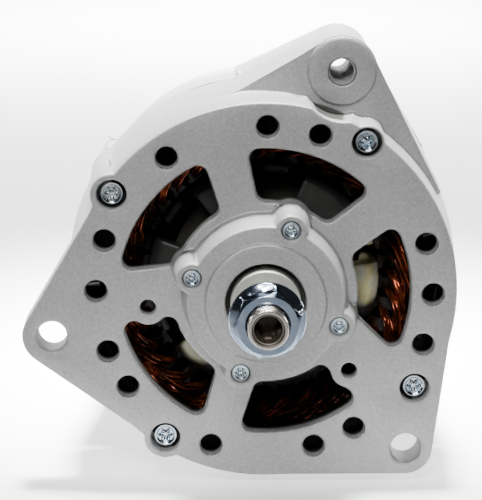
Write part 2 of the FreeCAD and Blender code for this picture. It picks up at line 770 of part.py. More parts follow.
def stator_seat(body, front, back):
    """Turned seat for the stator core in those ribs."""
    radius = S.core_r + S.seat_gap
    revolve(body, [(S.coil_outer_r, front), (radius, front), (radius, back), (S.coil_outer_r, back)],
            cut=True)


def drive_end_shield():
    """Front casting: face with windows and vents, hub, two ears, the upper lug and a deep shell."""
    body = new_body("drive_end_shield")
    disc_face = hub_face - S.disc_height
    revolve(body, [
        (ZERO, disc_face), (S.disc_r, disc_face), (S.disc_r, hub_face), (S.hub_top_r, hub_face),
        (S.hub_r, S.face_depth), (S.face_r, S.face_depth), (S.rim_r, S.split_depth),
        (ZERO, S.split_depth)])
    length = S.split_depth - S.face_depth
    for i, place in enumerate(bolt_places):
        radius = S.bolt_lobe_small_r if i == 0 else S.bolt_lobe_r
        cone(body, place, S.split_depth, length, radius + S.bolt_lobe_draft, radius)
    for centre, radius, turns, thick in (
            (ear_left, S.ear_left_r, (S.ear_left_top_turn, S.ear_left_low_turn), S.ear_left_thick),
            (ear_right, S.ear_right_r, (S.ear_right_low_turn, S.ear_right_top_turn + FULL_TURN),
             S.ear_right_thick)):
        pad(body, draw(body, S.face_depth, ear_outline(centre, radius, *turns)), thick)
    holes(body, [lug], S.scallop_r, S.face_depth, S.lug_front - S.face_depth)
    pad(body, draw(body, S.lug_front, lug_outline()), S.lug_len, S.lug_draft)
    discs(body, [lug], S.lug_spot_r, S.lug_front - S.lug_spot, S.lug_spot + S.join)
    lug_back = S.lug_front + S.lug_len + S.past
    over_rear = S.rear_rim_r + S.wall_gap
    revolve(body, [
        (ZERO, disc_face - S.past), (S.hub_hole_r, disc_face - S.past), (S.hub_hole_r, front_bearing),
        (S.front_race_r + S.press_gap, front_bearing), (S.front_race_r + S.press_gap, retainer_front),
        (S.retainer_r + S.seat_gap, retainer_front), (S.retainer_r + S.seat_gap, plate_back),
        (S.cavity_r, plate_back), (S.cavity_rim_r, S.split_depth), (over_rear, S.split_depth),
        (over_rear, lug_back), (ZERO, lug_back)], cut=True)
    stator_ribs(body, plate_back - S.join, S.split_depth - plate_back + S.join)
    stator_seat(body, S.core_front, S.split_depth + S.past)
    sketch = new_sketch(body, "XZ_Plane", S.face_depth)
    for right, left in WINDOW_SIDES:
        for edge in window_wires(float(S.window_in_r), float(S.window_out_r),
                                 float(S.window_corner_r), right, left):
            sketch.addGeometry(edge, False)
    pocket(body, sketch, S.plate)
    bevel_edges(body, S.window_bevel, lambda edge: on_plane(edge, S.face_depth) and is_window_edge(edge))
    discs(body, eyes, S.eye_r, S.face_depth, S.plate)
    slope = (S.lobe_base_r - S.lobe_top_r) / S.hub_height
    lobe = cone(body, retainer_places[0], plate_back, plate_back - hub_face,
                S.lobe_base_r + slope * S.plate, S.lobe_top_r)
    repeat(body, [lobe], dim(QUARTERS))
    bearing_bore(body)
    vents = [polar(S.vent_ring_r, S.vent_turn + S.vent_step * step) for step in VENT_STEPS]
    vents += [polar(S.vent_ring_r, turn) for turn in VENT_ODD_TURNS]
    holes(body, vents, S.vent_r, S.face_depth, S.plate)
    holes(body, eyes, S.eye_hole_r, S.face_depth, S.plate)
    holes(body, bolt_places, S.bolt_bore_r, S.face_depth, S.bolt_bore)
    holes(body, bolt_places, S.bolt_shank_r + S.screw_gap, bolt_seat, S.split_depth)
    holes(body, retainer_places, S.retainer_bore_r, hub_face, S.retainer_bore)
    holes(body, retainer_places, S.retainer_shank_r + S.screw_gap, hub_face, S.hub_height + S.plate)
    holes(body, [ear_left, ear_right], S.ear_bore_r, S.face_depth, S.ear_right_thick)
    holes(body, [lug], S.lug_bore_r, S.lug_front - S.lug_spot, S.lug_len + S.past)
    bevel_edges(body, S.vent_bevel, lambda edge: on_plane(edge, S.face_depth) and is_ring(edge, S.vent_r))
    bevel_edges(body, S.ear_bevel, lambda edge: is_ring(edge, S.ear_bore_r) and (
        on_plane(edge, S.face_depth)))
    bevel_edges(body, S.lug_bevel, lambda edge: is_ring(edge, S.lug_bore_r) and (
        on_plane(edge, S.lug_front - S.lug_spot)))
    return body


def bearing_bore(body):
    """Opens the bearing's seat again where the hub's lobes run into it."""
    seat = S.front_race_r + S.press_gap
    revolve(body, [
        (ZERO, front_bearing), (seat, front_bearing), (seat, retainer_front),
        (S.retainer_r + S.seat_gap, retainer_front), (S.retainer_r + S.seat_gap, plate_back + S.past),
        (ZERO, plate_back + S.past)], cut=True)


def is_window_edge(edge):
    """Whether an edge of the front face belongs to a window, by how far it is from the axis."""
    middle = edge.CenterOfMass
    reach = math.hypot(middle.x, middle.z)
    return float(S.hub_r) + 1 < reach < float(S.window_out_r) + 1


def slip_ring_end_shield():
    """Rear casting: shell, back wall with windows, closed bearing hub and bosses for the terminals."""
    body = new_body("slip_ring_end_shield")
    wall_edge = S.rear_face - S.rear_bevel
    revolve(body, [
        (ZERO, rear_rim), (S.rear_rim_r, rear_rim), (S.rear_edge_r, wall_edge),
        (S.rear_face_r, S.rear_face), (S.rear_hub_r, S.rear_face),
        (S.rear_hub_r, S.rear_hub_end - S.rear_hub_wall / 2), (S.rear_hub_top_r, S.rear_hub_end),
        (ZERO, S.rear_hub_end)])
    for place in bolt_places:
        cone(body, place, rear_rim + S.rear_lobe_len, S.rear_lobe_len,
             S.rear_lobe_r - S.rear_lobe_draft, S.rear_lobe_r)
    hub_in = rear_wall - S.rear_hub_in
    revolve(body, [
        (ZERO, rear_rim - S.past), (S.cavity_rim_r, rear_rim - S.past), (S.cavity_rim_r, rear_rim),
        (S.cavity_r, rear_wall), (S.rear_hub_r, rear_wall), (S.rear_hub_r, hub_in),
        (S.rear_race_r + S.press_gap, hub_in),
        (S.rear_race_r + S.press_gap, S.rear_hub_end - S.rear_hub_wall),
        (ZERO, S.rear_hub_end - S.rear_hub_wall)], cut=True)
    stator_ribs(body, rear_rim, S.rear_rib_len)
    sketch = new_sketch(body, "XZ_Plane", rear_rim)
    bar(sketch, S.rib_r, S.cavity_r + S.join, S.bolt_rib_wide, S.bolt_turn)
    repeat(body, [pad(body, sketch, S.rear_lobe_len)], dim(QUARTERS))
    stator_seat(body, rear_rim - S.past, core_back)
    discs(body, [polar(S.minus_diode_ring_r, turn) for turn in SINK_POSTS], S.sink_post_r,
          sink_back, rear_wall - sink_back + S.join)
    sketch = new_sketch(body, "XZ_Plane", rear_wall - S.join)
    for i in range(int(S.slot_windows.number)):
        turn = S.slot_first.number + S.slot_step.number * i
        half = S.slot_half.number
        for edge in window_wires(float(S.slot_in_r), float(S.slot_out_r), float(S.slot_corner_r),
                                 (turn - half, turn - half), (turn + half, turn + half)):
            sketch.addGeometry(edge, False)
    pocket(body, sketch, S.rear_plate + S.join * 2)
    mouth = S.holder_half + S.mouth_gap
    low, high = S.rear_hub_r + S.mouth_gap, S.holder_top + S.mouth_gap
    sketch = new_sketch(body, "XZ_Plane", rear_wall - S.join)
    polygon(sketch, [(-mouth, low), (mouth, low), (mouth, high), (-mouth, high)])
    pocket(body, sketch, S.rear_plate + S.join * 2)
    holes(body, bolt_places, S.bolt_shank_r + S.press_gap, rear_rim,
          S.bolt_len - (rear_rim - bolt_seat) + S.past)
    holes(body, [plus_place], S.bush_neck_r + S.seat_gap, rear_wall, S.rear_plate)
    holes(body, [ground_place], S.power_held_r + S.press_gap, rear_wall, S.rear_plate)
    holes(body, signal_places, S.signal_neck_r + S.seat_gap, rear_wall, S.rear_plate)
    holes(body, [polar(S.minus_diode_ring_r, turn) for turn in SINK_POSTS],
          S.sink_screw_r + S.press_gap, sink_back, rear_wall - sink_back)
    screw_depth = S.rear_face + S.regulator_plate - S.regulator_screw_len
    holes(body, regulator_screw_places(), S.regulator_screw_r + S.press_gap, screw_depth,
          S.regulator_screw_len)
    return body


def regulator_screw_places():
    middle = (S.regulator_low + S.regulator_high) / 2
    return [(-S.regulator_screw_x, middle), (S.regulator_screw_x, middle)]


def stator_core():
    """Laminated ring with slots that open towards the rotor."""
    body = new_body("stator_core")
    bore = S.rotor_r + S.air_gap
    revolve(body, [(bore, S.core_front), (S.core_r, S.core_front), (S.core_r, core_back), (bore, core_back)])
    half, mouth = S.slot_wide / 2, S.slot_mouth / 2
    neck = bore + S.tooth_tip
    sketch = new_sketch(body, "XZ_Plane", S.core_front)
    low = bore - S.past
    polygon(sketch, [(low, -mouth), (neck, -mouth), (neck, -half), (S.slot_floor_r, -half),
                     (S.slot_floor_r, half), (neck, half), (neck, mouth), (low, mouth)])
    repeat(body, [pocket(body, sketch, S.core_len)], S.slot_count)
    return body


def stator_winding():
    """Three-phase winding: a head at either end of the core and the wires in its slots."""
    body = new_body("stator_winding")
    inner, outer = S.coil_inner_r, S.coil_outer_r
    wire_in = S.rotor_r + S.air_gap + S.tooth_tip + S.bar_gap
    wire_out = S.slot_floor_r - S.bar_gap
    front, back = S.core_front - S.coil_front, core_back + S.coil_rear
    rings = []
    for end, face, way in ((front, S.core_front, -1), (back, core_back, 1)):
        neck = face + S.coil_neck * way
        crown = end - S.coil_neck * way
        root = face + S.bar_gap * way
        rings.append([(wire_in, root), (wire_out, root), (outer, neck), (outer, crown),
                      (outer - S.coil_round, end), (inner + S.coil_round, end), (inner, crown),
                      (inner, neck)])
    revolve_rings(body, rings)
    sketch = new_sketch(body, "XZ_Plane", S.core_front - S.join)
    bar(sketch, wire_in, wire_out, S.slot_wide - S.bar_gap * 2, ZERO)
    repeat(body, [pad(body, sketch, S.core_len + S.join * 2)], S.slot_count)
    return body


def housing_screws():
    """Four long screws that clamp the castings together over the stator."""
    body = new_body("housing_screws")
    discs(body, bolt_places, S.bolt_shank_r, bolt_seat - S.join, S.bolt_len + S.join)
    discs(body, bolt_places, S.bolt_head_r, bolt_seat - S.bolt_head, S.bolt_head)
    holes(body, bolt_places, S.drive_r, bolt_seat - S.bolt_head, S.drive_depth)
    return body


def bearing_retainer():
    """Steel plate that keeps the front bearing in its seat."""
    body = tube("bearing_retainer", S.retainer_hole_r, S.retainer_r, retainer_front, S.retainer_plate)
    holes(body, retainer_places, S.retainer_shank_r + S.press_gap, retainer_front, S.retainer_plate)
    return body


def retainer_screws():
    """Four screws that pull that plate against the hub."""
    body = new_body("retainer_screws")
    seat = hub_face + S.retainer_bore
    end = retainer_front + S.retainer_plate
    discs(body, retainer_places, S.retainer_shank_r, seat - S.join, end - seat + S.join)
    discs(body, retainer_places, S.retainer_head_r, seat - S.retainer_head, S.retainer_head)
    holes(body, retainer_places, S.drive_small_r, seat - S.retainer_head, S.drive_depth)
    return body


def bearing(name, front, width, bore_r, outer_r, wall):
    """Sealed ball bearing: two rings, two seals and the cage with its balls as one ring."""
    inner_top = bore_r + wall
    outer_low = outer_r - wall
    tube(name + "_inner_ring", bore_r + S.press_gap, inner_top, front, width)
    tube(name + "_outer_ring", outer_low, outer_r, front, width)
    seals = new_body(name + "_seals")
    lip, rim = inner_top + S.run_gap / 2, outer_low - S.press_gap
    near, far = front + S.seal_set, front + width - S.seal_set - S.seal
    revolve_rings(seals, [
        [(lip, near), (rim, near), (rim, near + S.seal), (lip, near + S.seal)],
        [(lip, far), (rim, far), (rim, far + S.seal), (lip, far + S.seal)]])
    gap = S.seal_set + S.seal + S.run_gap
    tube(name + "_cage", inner_top + S.run_gap, outer_low - S.run_gap, front + gap, width - gap * 2)


def rotor_shaft():
    """Shaft from the threaded nose with its socket to the rear bearing."""
    end = rear_bearing_back + S.shaft_end
    tail_front = rotor_back
    mouth = S.socket_rim_r - S.socket_r
    return turned("rotor_shaft", [
        (S.socket_rim_r, ZERO), (S.thread_r, ZERO), (S.thread_r, S.nut_reach),
        (S.thread_held_r, S.nut_reach), (S.thread_held_r, S.thread_len),
        (S.seat_r, S.thread_len), (S.seat_r, S.rotor_front), (S.core_seat_r, S.rotor_front),
        (S.core_seat_r, tail_front), (S.tail_r, tail_front), (S.tail_r, S.rear_front),
        (S.rear_bore_r, S.rear_front), (S.rear_bore_r, end), (ZERO, end), (ZERO, S.socket_depth),
        (S.socket_r, S.socket_depth), (S.socket_r, mouth)])


def pulley_nut():
    """Flanged hexagon nut on the shaft's thread."""
    body = new_body("pulley_nut")
    sketch = new_sketch(body, "XZ_Plane", S.nut_reach)
    hexagon(sketch, (ZERO, ZERO), S.nut_half_flat, S.nut_turn)
    pad(body, sketch, S.nut_height - S.nut_flange)
    corner_r = S.nut_half_flat * CORNER_RATIO + S.past
    flange_front = nut_back - S.nut_flange
    revolve(body, [
        (S.nut_half_flat, S.nut_reach - S.past), (corner_r, S.nut_reach - S.past),
        (corner_r, S.nut_reach + S.nut_bevel), (S.nut_half_flat - S.nut_inset, S.nut_reach)], cut=True)
    slope_front = flange_front - S.nut_slope
    revolve(body, [
        (S.thread_r + S.join, slope_front), (S.nut_half_flat, slope_front),
        (S.nut_flange_r, flange_front), (S.nut_flange_r, nut_back), (S.thread_r + S.join, nut_back)])
    holes(body, [(ZERO, ZERO)], S.thread_held_r + S.press_gap, S.nut_reach, S.nut_height)
    return body


def claw_pole(label, turn):
    """Pole piece with tapered fingers; made facing front, and turned about for the rear one."""
    body = new_body(label)
    bore = S.core_seat_r + S.press_gap
    front, tip = S.rotor_front, web_back + S.finger_len
    revolve(body, [
        (bore, front), (S.bevel_r, front), (S.rotor_r, front + S.bevel_len), (S.rotor_r, tip),
        (S.rotor_r - S.tip_wall, tip), (S.rotor_r - S.root_wall, web_back), (bore, web_back)])
    half_step = dim(FULL_TURN) / S.pole_count / 2
    gap_turn = dim(turn) + half_step
    inside, outside = S.yoke_r + S.past, S.rotor_r + S.root_wall
    sections = []
    for depth, finger_half in ((front - S.past, S.root_half), (tip + S.past, S.tip_half)):
        half = half_step - finger_half
        sketch = new_sketch(body, "XZ_Plane", depth)
        polygon(sketch, [polar(inside, gap_turn - half), polar(outside, gap_turn - half),
                         polar(outside, gap_turn + half), polar(inside, gap_turn + half)])
        sections.append(sketch)
    gap = body.newObject("PartDesign::SubtractiveLoft", label + "_gap")
    gap.Profile = sections[0]
    gap.Sections = sections[1:]
    gap.Ruled = True
    repeat(body, [gap], S.pole_count)
    return body


def sector_edges(inner, outer, turn, inner_half, outer_half):
    """Ring sector about the axis, with its half angle given inside and outside."""
    r1, r2, mid = float(inner), float(outer), float(turn)
    a1, a2 = float(inner_half), float(outer_half)
    return [
        arc(at(r2, mid - a2), at(r2, mid), at(r2, mid + a2)),
        Part.LineSegment(at(r2, mid + a2), at(r1, mid + a1)),
        arc(at(r1, mid + a1), at(r1, mid), at(r1, mid - a1)),
        Part.LineSegment(at(r1, mid - a1), at(r2, mid - a2)),
    ]


def rear_claw_pole():
    """The same pole piece, facing rearwards, half a step round."""
    half_step = FULL_TURN / 2 / S.pole_count.number
    body = claw_pole("rear_claw_pole", half_step - S.pole_turn.number)
    flip = FreeCAD.Rotation(FreeCAD.Vector(0, 0, 1), FULL_TURN / 2)
    body.Placement = FreeCAD.Placement(
        FreeCAD.Vector(0, float(S.rotor_front + rotor_back), 0),
        FreeCAD.Rotation(FreeCAD.Vector(0, -1, 0), FULL_TURN / 2) * flip)
    bind(body, "Placement.Base.y", S.rotor_front + rotor_back)
    return body


def field_parts():
    """Iron core, bobbin and coil between the two pole pieces."""
    rear_web = rotor_back - S.pole_disc
    tube("pole_core", S.core_seat_r + S.press_gap, S.yoke_r, web_back, rear_web - web_back)
    low = S.yoke_r + S.seat_gap
    wall = S.bobbin_wall
    near, far = web_back + S.seat_gap, rear_web - S.seat_gap
    turned("field_bobbin", [
        (low, near), (S.bobbin_r, near), (S.bobbin_r, near + wall), (low + wall, near + wall),
        (low + wall, far - wall), (S.bobbin_r, far - wall), (S.bobbin_r, far), (low, far)])
    inside = low + wall + S.seat_gap
    tube("field_winding", inside, S.coil_r, near + wall + S.seat_gap,
         far - near - wall * 2 - S.seat_gap * 2)


def slip_ring_parts():
    """Two slip rings on their insulating sleeve."""
    under = S.ring_r - S.ring_wall
    start = S.ring_front - S.sleeve_end
    length = S.ring_pitch + S.ring_width + S.sleeve_end * 2
    tube("slip_ring_sleeve", S.tail_r + S.press_gap, under, start, length)
    tube("front_slip_ring", under + S.press_gap, S.ring_r, S.ring_front, S.ring_width)
    tube("rear_slip_ring", under + S.press_gap, S.ring_r, S.ring_front + S.ring_pitch, S.ring_width)


def brush_middle(i):
    return S.ring_front + S.ring_width / 2 + S.ring_pitch * i


def brush(label, i):
    """Carbon brush that stands on its ring, with its foot turned to the ring's radius."""
    body = new_body(label)
    half = S.brush_wide / 2
    low = S.ring_r + S.brush_gap
    sketch = new_sketch(body, "XZ_Plane", brush_middle(i) - S.brush_deep / 2)
    polygon(sketch, [(-half, low - S.join), (half, low - S.join), (half, low + S.brush_long),
                     (-half, low + S.brush_long)])
    pad(body, sketch, S.brush_deep)
    holes(body, [(ZERO, ZERO)], low, brush_middle(i) - S.brush_deep, S.brush_deep * 2)
    return body


def brush_spring(label, i):
    """Coil spring that presses the brush inwards, as the tube that it fills."""
    body = new_body(label)
    low = S.ring_r + S.brush_gap + S.brush_long
    high = S.holder_top - S.holder_cap
    sketch = new_sketch(body, "XY_Plane", low)
    for radius in (S.spring_r, S.spring_r - S.spring_wire):
        circle(sketch, (ZERO, brush_middle(i)), radius)
    feature = body.newObject("PartDesign::Pad", label + "_pad")
    feature.Profile = sketch
    bind(feature, "Length", high - low)
    return body


def brush_holder():
    """Moulded holder with a guide for each brush, which reaches in through the back wall."""
    body = new_body("brush_holder")
    half = S.holder_half
    front = brush_middle(0) - S.brush_deep / 2 - S.holder_end
    inner_back = rear_wall - S.rear_hub_in - S.mouth_gap
    low, high = S.ring_r + S.holder_low, S.holder_top
    sketch = new_sketch(body, "XZ_Plane", front)
    polygon(sketch, [(-half, low), (half, low), (half, high), (-half, high)])
    pad(body, sketch, inner_back - front)
    neck_low = S.rear_hub_r + S.mouth_gap * 2
    sketch = new_sketch(body, "XZ_Plane", inner_back - S.join)
    polygon(sketch, [(-half, neck_low), (half, neck_low), (half, high), (-half, high)])
    pad(body, sketch, S.rear_face - inner_back + S.join)
    guide_x = S.brush_wide / 2 + S.guide_gap
    guide_y = S.brush_deep / 2 + S.guide_gap
    for i in range(BRUSHES):
        middle = brush_middle(i)
        sketch = new_sketch(body, "XY_Plane", S.ring_r)
        polygon(sketch, [(-guide_x, middle - guide_y), (guide_x, middle - guide_y),
                         (guide_x, middle + guide_y), (-guide_x, middle + guide_y)])
        feature = pocket(body, sketch, high - S.holder_cap - S.ring_r)
        feature.Reversed = True
    return body


def regulator():
    """Voltage regulator on the back face: plate, box and cooling fins."""
    body = new_body("regulator")
    half = S.regulator_half
    low, high = S.regulator_low, S.regulator_high
    sketch = new_sketch(body, "XZ_Plane", S.rear_face)
    polygon(sketch, [(-half, low), (half, low), (half, high), (-half, high)])
    pad(body, sketch, S.regulator_plate)
    box = half - S.regulator_inset
    low, high = low + S.regulator_edge, high - S.regulator_edge
    sketch = new_sketch(body, "XZ_Plane", S.rear_face + S.regulator_plate - S.join)
    polygon(sketch, [(-box, low), (box, low), (box, high), (-box, high)])
    pad(body, sketch, S.regulator_box + S.join)
    top = S.rear_face + S.regulator_plate + S.regulator_box
    sketch = new_sketch(body, "XZ_Plane", top - S.join)
    count = int(S.fin_count.number)
    for i in range(count):
        x = (box * 2 - S.fin_thick) * (i / (count - 1)) - box
        polygon(sketch, [(x, low), (x + S.fin_thick, low), (x + S.fin_thick, high), (x, high)])
    pad(body, sketch, S.fin_high + S.join)
    holes(body, regulator_screw_places(), S.regulator_screw_r + S.screw_gap, S.rear_face,
          S.regulator_plate)
    return body


def regulator_screws():
    """Two screws that hold the regulator and the brush holder."""
    body = new_body("regulator_screws")
    seat = S.rear_face + S.regulator_plate
    places = regulator_screw_places()
    discs(body, places, S.regulator_screw_r, seat - S.regulator_screw_len,
          S.regulator_screw_len + S.join)
    discs(body, places, S.regulator_head_r, seat, S.regulator_head)
    holes(body, places, S.drive_small_r, seat + S.regulator_head - S.drive_depth, S.drive_depth)
    return body


def horseshoe(label, inner, outer, first, last, front, thick):
    """Flat open ring, such as a heat sink or the rectifier's board."""
    body = new_body(label)
    mid, half = (first + last) / 2, (last - first) / 2
    pad(body, draw(body, front, sector_edges(inner, outer, mid, half, half)), thick)
    return body


def rectifier():
    """Board, two heat sinks and their diodes behind the stator."""
    board = horseshoe("rectifier_board", S.board_in_r, S.board_out_r, S.board_first, S.board_last,
                      S.board_front, S.board_plate)
    holes(board, signal_places, S.signal_held_r + S.press_gap, S.board_front, S.board_plate)
    plus = horseshoe("positive_heat_sink", S.plus_in_r, S.plus_out_r, S.sink_first, S.sink_last,
                     S.sink_front, S.sink_plate)
    plus_diodes = [polar(S.plus_diode_ring_r, turn) for turn in PLUS_DIODES]
    minus_diodes = [polar(S.minus_diode_ring_r, turn) for turn in MINUS_DIODES]
    posts = [polar(S.minus_diode_ring_r, turn) for turn in SINK_POSTS]
    holes(plus, plus_diodes, S.diode_r + S.press_gap, S.sink_front, S.sink_plate)
    holes(plus, [plus_place], S.power_held_r + S.press_gap, S.sink_front, S.sink_plate)
    minus = horseshoe("negative_heat_sink", S.minus_in_r, S.minus_out_r, S.sink_first, S.sink_last,
                      S.sink_front, S.sink_plate)
    holes(minus, minus_diodes, S.diode_r + S.press_gap, S.sink_front, S.sink_plate)
    holes(minus, posts, S.sink_screw_r + S.screw_gap, S.sink_front, S.sink_plate)
    board_back = S.board_front + S.board_plate
    diode_front = S.sink_front - S.diode_ahead
    for label, places in (("positive_diodes", plus_diodes), ("negative_diodes", minus_diodes)):
        diodes = new_body(label)
        discs(diodes, places, S.diode_r, diode_front, S.diode_len)
        discs(diodes, places, S.diode_lead_r, board_back, diode_front - board_back + S.join)
    small = new_body("exciter_diodes")
    discs(small, [polar(S.plus_diode_ring_r, turn) for turn in SMALL_DIODES], S.small_diode_r,
          board_back, S.small_diode_len)
    screws = new_body("rectifier_screws")
    discs(screws, posts, S.sink_screw_r, S.sink_front - S.join, rear_wall - S.sink_front)
    discs(screws, posts, S.sink_screw_head_r, S.sink_front - S.sink_screw_head, S.sink_screw_head)


def stud(body, places, radii, front, nut_end, end):
    """Studs along Y: up to the nut's end at mid thread, and behind it at the thread's outside."""
    held_r, free_r = radii
    discs(body, places, held_r, front, end - front)
    discs(body, places, free_r, nut_end, end - nut_end)


def terminals():
    """Power studs, signal studs and what insulates and holds them."""
    plus_stud = new_body("battery_stud")
    stud_end = S.rear_face + S.power_reach
    stud(plus_stud, [plus_place], (S.power_held_r, S.power_stud_r), S.sink_front, plus_nut_end, stud_end)
    ground_stud = new_body("ground_stud")
    stud(ground_stud, [ground_place], (S.power_held_r, S.power_stud_r), rear_wall, ground_nut_end,
         stud_end)
    bush = new_body("battery_insulator")
    discs(bush, [plus_place], S.bush_r, sink_back, rear_wall - sink_back)
    discs(bush, [plus_place], S.bush_neck_r, rear_wall - S.join, S.rear_plate + S.join * 2)
    discs(bush, [plus_place], S.bush_r, S.rear_face, S.bush_flange)
    holes(bush, [plus_place], S.power_held_r + S.press_gap, sink_back,
          S.rear_face + S.bush_flange - sink_back)
    washers = new_body("terminal_washers")
    nuts = new_body("terminal_nuts")
    for place, seat in ((plus_place, S.rear_face + S.bush_flange), (ground_place, S.rear_face)):
        discs(washers, [place], S.power_washer_r, seat, S.power_washer)
        sketch = new_sketch(nuts, "XZ_Plane", seat + S.power_washer)
        hexagon(sketch, place, S.power_nut_flat, ZERO)
        pad(nuts, sketch, S.power_nut)
    depth = S.rear_face - S.past
    holes(washers, [plus_place, ground_place], S.power_held_r + S.press_gap, depth, S.power_reach)
    holes(nuts, [plus_place, ground_place], S.power_held_r + S.press_gap, depth, S.power_reach)
    studs = new_body("signal_studs")
    stud(studs, signal_places, (S.signal_held_r, S.signal_stud_r), S.board_front, signal_nut_end,
         S.rear_face + S.signal_reach)
    signal_bushes = new_body("signal_insulators")
    neck_front = rear_wall - S.past
    discs(signal_bushes, signal_places, S.signal_neck_r, neck_front, S.rear_face + S.join - neck_front)
    discs(signal_bushes, signal_places, S.signal_bush_r, S.rear_face, S.bush_flange)
    holes(signal_bushes, signal_places, S.signal_held_r + S.press_gap, neck_front,
          S.rear_face + S.bush_flange - neck_front)
    signal_nuts = new_body("signal_nuts")
    sketch = new_sketch(signal_nuts, "XZ_Plane", S.rear_face + S.bush_flange)
    for place in signal_places:
        hexagon(sketch, place, S.signal_nut_flat, ZERO)
    pad(signal_nuts, sketch, S.signal_nut)
    holes(signal_nuts, signal_places, S.signal_held_r + S.press_gap, S.rear_face + S.bush_flange,
          S.signal_nut)


def build():
    """Every piece, from the outside in."""
    drive_end_shield()
    slip_ring_end_shield()
    stator_core()
    stator_winding()
    housing_screws()
    bearing_retainer()
    retainer_screws()
    bearing("front_bearing", front_bearing, S.front_width, S.seat_r, S.front_race_r, S.front_race_wall)
    bearing("rear_bearing", S.rear_front, S.rear_width, S.rear_bore_r, S.rear_race_r, S.rear_race_wall)
    rotor_shaft()
    pulley_nut()
    tube("thrust_collar", S.seat_r + S.press_gap, S.collar_r, S.collar_front, S.collar_len)
    tube("rotor_spacer", S.seat_r + S.press_gap, S.spacer_r, retainer_front,
         S.rotor_front - retainer_front)
    claw_pole("front_claw_pole", S.pole_turn)
    rear_claw_pole()
    field_parts()
    slip_ring_parts()
    brush("front_brush", 0)
    brush("rear_brush", 1)
    brush_spring("front_brush_spring", 0)
    brush_spring("rear_brush_spring", 1)
    brush_holder()
    regulator()
    regulator_screws()
    rectifier()
    terminals()


def check_and_export():
    """Stop at anything that failed, then write one file for each piece."""
    doc.recompute()
    for item in doc.Objects:
        if "Invalid" in item.State or "Error" in item.State:
            raise RuntimeError("%s did not build: %s" % (item.Label, item.State))
    bodies = [item for item in doc.Objects if item.TypeId == "PartDesign::Body"]
    for body in bodies:
        if body.Shape.isNull() or not body.Shape.isValid():
            raise RuntimeError("%s has no valid shape" % body.Label)
    os.makedirs("parts", exist_ok=True)
    for body in bodies:
        body.Shape.exportStep("parts/%s.step" % body.Label)
        print("%-24s solids %2d  volume %10.1f" % (body.Label, len(body.Shape.Solids), body.Shape.Volume))


build()
check_and_export()
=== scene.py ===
# %% [markdown]
# This scene dresses an alternator, the machine that charges a truck's battery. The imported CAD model
# is loaded first and stays where it is: it gives every place and every size, and the pieces made here
# either carry better surfaces than the CAD solids or add the detail that solids leave out.

# %% Load the fixed frame
import bmesh
import bpy
import numpy as np
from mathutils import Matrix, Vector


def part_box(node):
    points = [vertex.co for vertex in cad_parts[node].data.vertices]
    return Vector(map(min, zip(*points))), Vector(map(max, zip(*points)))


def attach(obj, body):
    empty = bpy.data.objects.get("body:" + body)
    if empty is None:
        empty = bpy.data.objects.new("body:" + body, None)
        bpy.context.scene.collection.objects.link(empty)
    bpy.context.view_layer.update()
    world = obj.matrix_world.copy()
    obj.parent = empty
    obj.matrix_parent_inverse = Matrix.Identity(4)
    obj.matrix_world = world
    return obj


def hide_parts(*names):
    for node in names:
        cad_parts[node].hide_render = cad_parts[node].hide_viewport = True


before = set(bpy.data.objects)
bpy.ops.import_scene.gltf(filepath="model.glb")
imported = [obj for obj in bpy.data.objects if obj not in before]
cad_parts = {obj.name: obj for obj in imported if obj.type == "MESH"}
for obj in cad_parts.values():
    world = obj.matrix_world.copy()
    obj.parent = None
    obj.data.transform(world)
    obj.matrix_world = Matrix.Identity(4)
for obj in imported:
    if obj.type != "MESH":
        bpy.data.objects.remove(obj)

for name in ("Cube", "Light", "Camera"):
    if name in bpy.data.objects:
        bpy.data.objects.remove(bpy.data.objects[name])
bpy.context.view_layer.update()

# %% [markdown]
# The machine's axis is the Y axis, with the shaft's tip at zero, X to the right and Z up. It is easier
# to think in millimetres, as the drawing of such a machine does, so every shape is worked out in
# millimetres and turned into metres only when it becomes a mesh.

# %% Millimetres and angles
MM = 0.001
TURN = 2 * np.pi


def ring_angles(count):
    """Angles of evenly spaced points round a full turn, without the repeated last one."""
    return np.arange(count) * TURN / count


def on_ring(radius, degrees):
    """The X and Z of a place at a radius and an angle, counted from X towards Z."""
    return radius * np.cos(np.radians(degrees)), radius * np.sin(np.radians(degrees))


def lowest_and_highest(node):
    """Corners of a CAD node's box, in millimetres."""
    return [np.array(corner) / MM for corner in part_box(node)]


print("shaft runs from", *[c[1].round(2) for c in lowest_and_highest("rotor_shaft")])

# %% [markdown]
# Every new surface here is a grid: rows that follow one parameter and columns that follow another.
# Neighbouring points make a four-sided face. A grid that closes on itself makes a tube or a ring, and a
# row whose points all fall together closes a pole once the doubles are merged.

# %% Grids to meshes
def grid_faces(rows, columns, closed=True):
    """Faces of a grid numbered row by row: each joins a point to the next column and the next row, and
    in a closed grid the last column meets the first."""
    i = np.arange(rows - 1)[:, None]
    j = np.arange(columns if closed else columns - 1)[None, :]
    here, below, right = i * columns, (i + 1) * columns, (j + 1) % columns
    quads = [here + j, here + right, below + right, below + j]
    return np.stack(np.broadcast_arrays(*quads), -1).reshape(-1, 4)


def many_grids(grids):
    """Points and faces of several closed grids of one size, from one array (grid, row, column, xyz)."""
    count, rows, columns = grids.shape[:3]
    starts = np.arange(count)[:, None, None] * rows * columns
    return grids.reshape(-1, 3), (grid_faces(rows, columns)[None] + starts).reshape(-1, 4)


def join_shapes(shapes):
    """Several (points, faces) pairs as one, with the face numbers moved on."""
    starts = np.cumsum([0] + [len(points) for points, faces in shapes[:-1]])
    return (np.concatenate([points for points, faces in shapes]),
            np.concatenate([faces + start for (points, faces), start in zip(shapes, starts)]))


doubles_within = 0.001


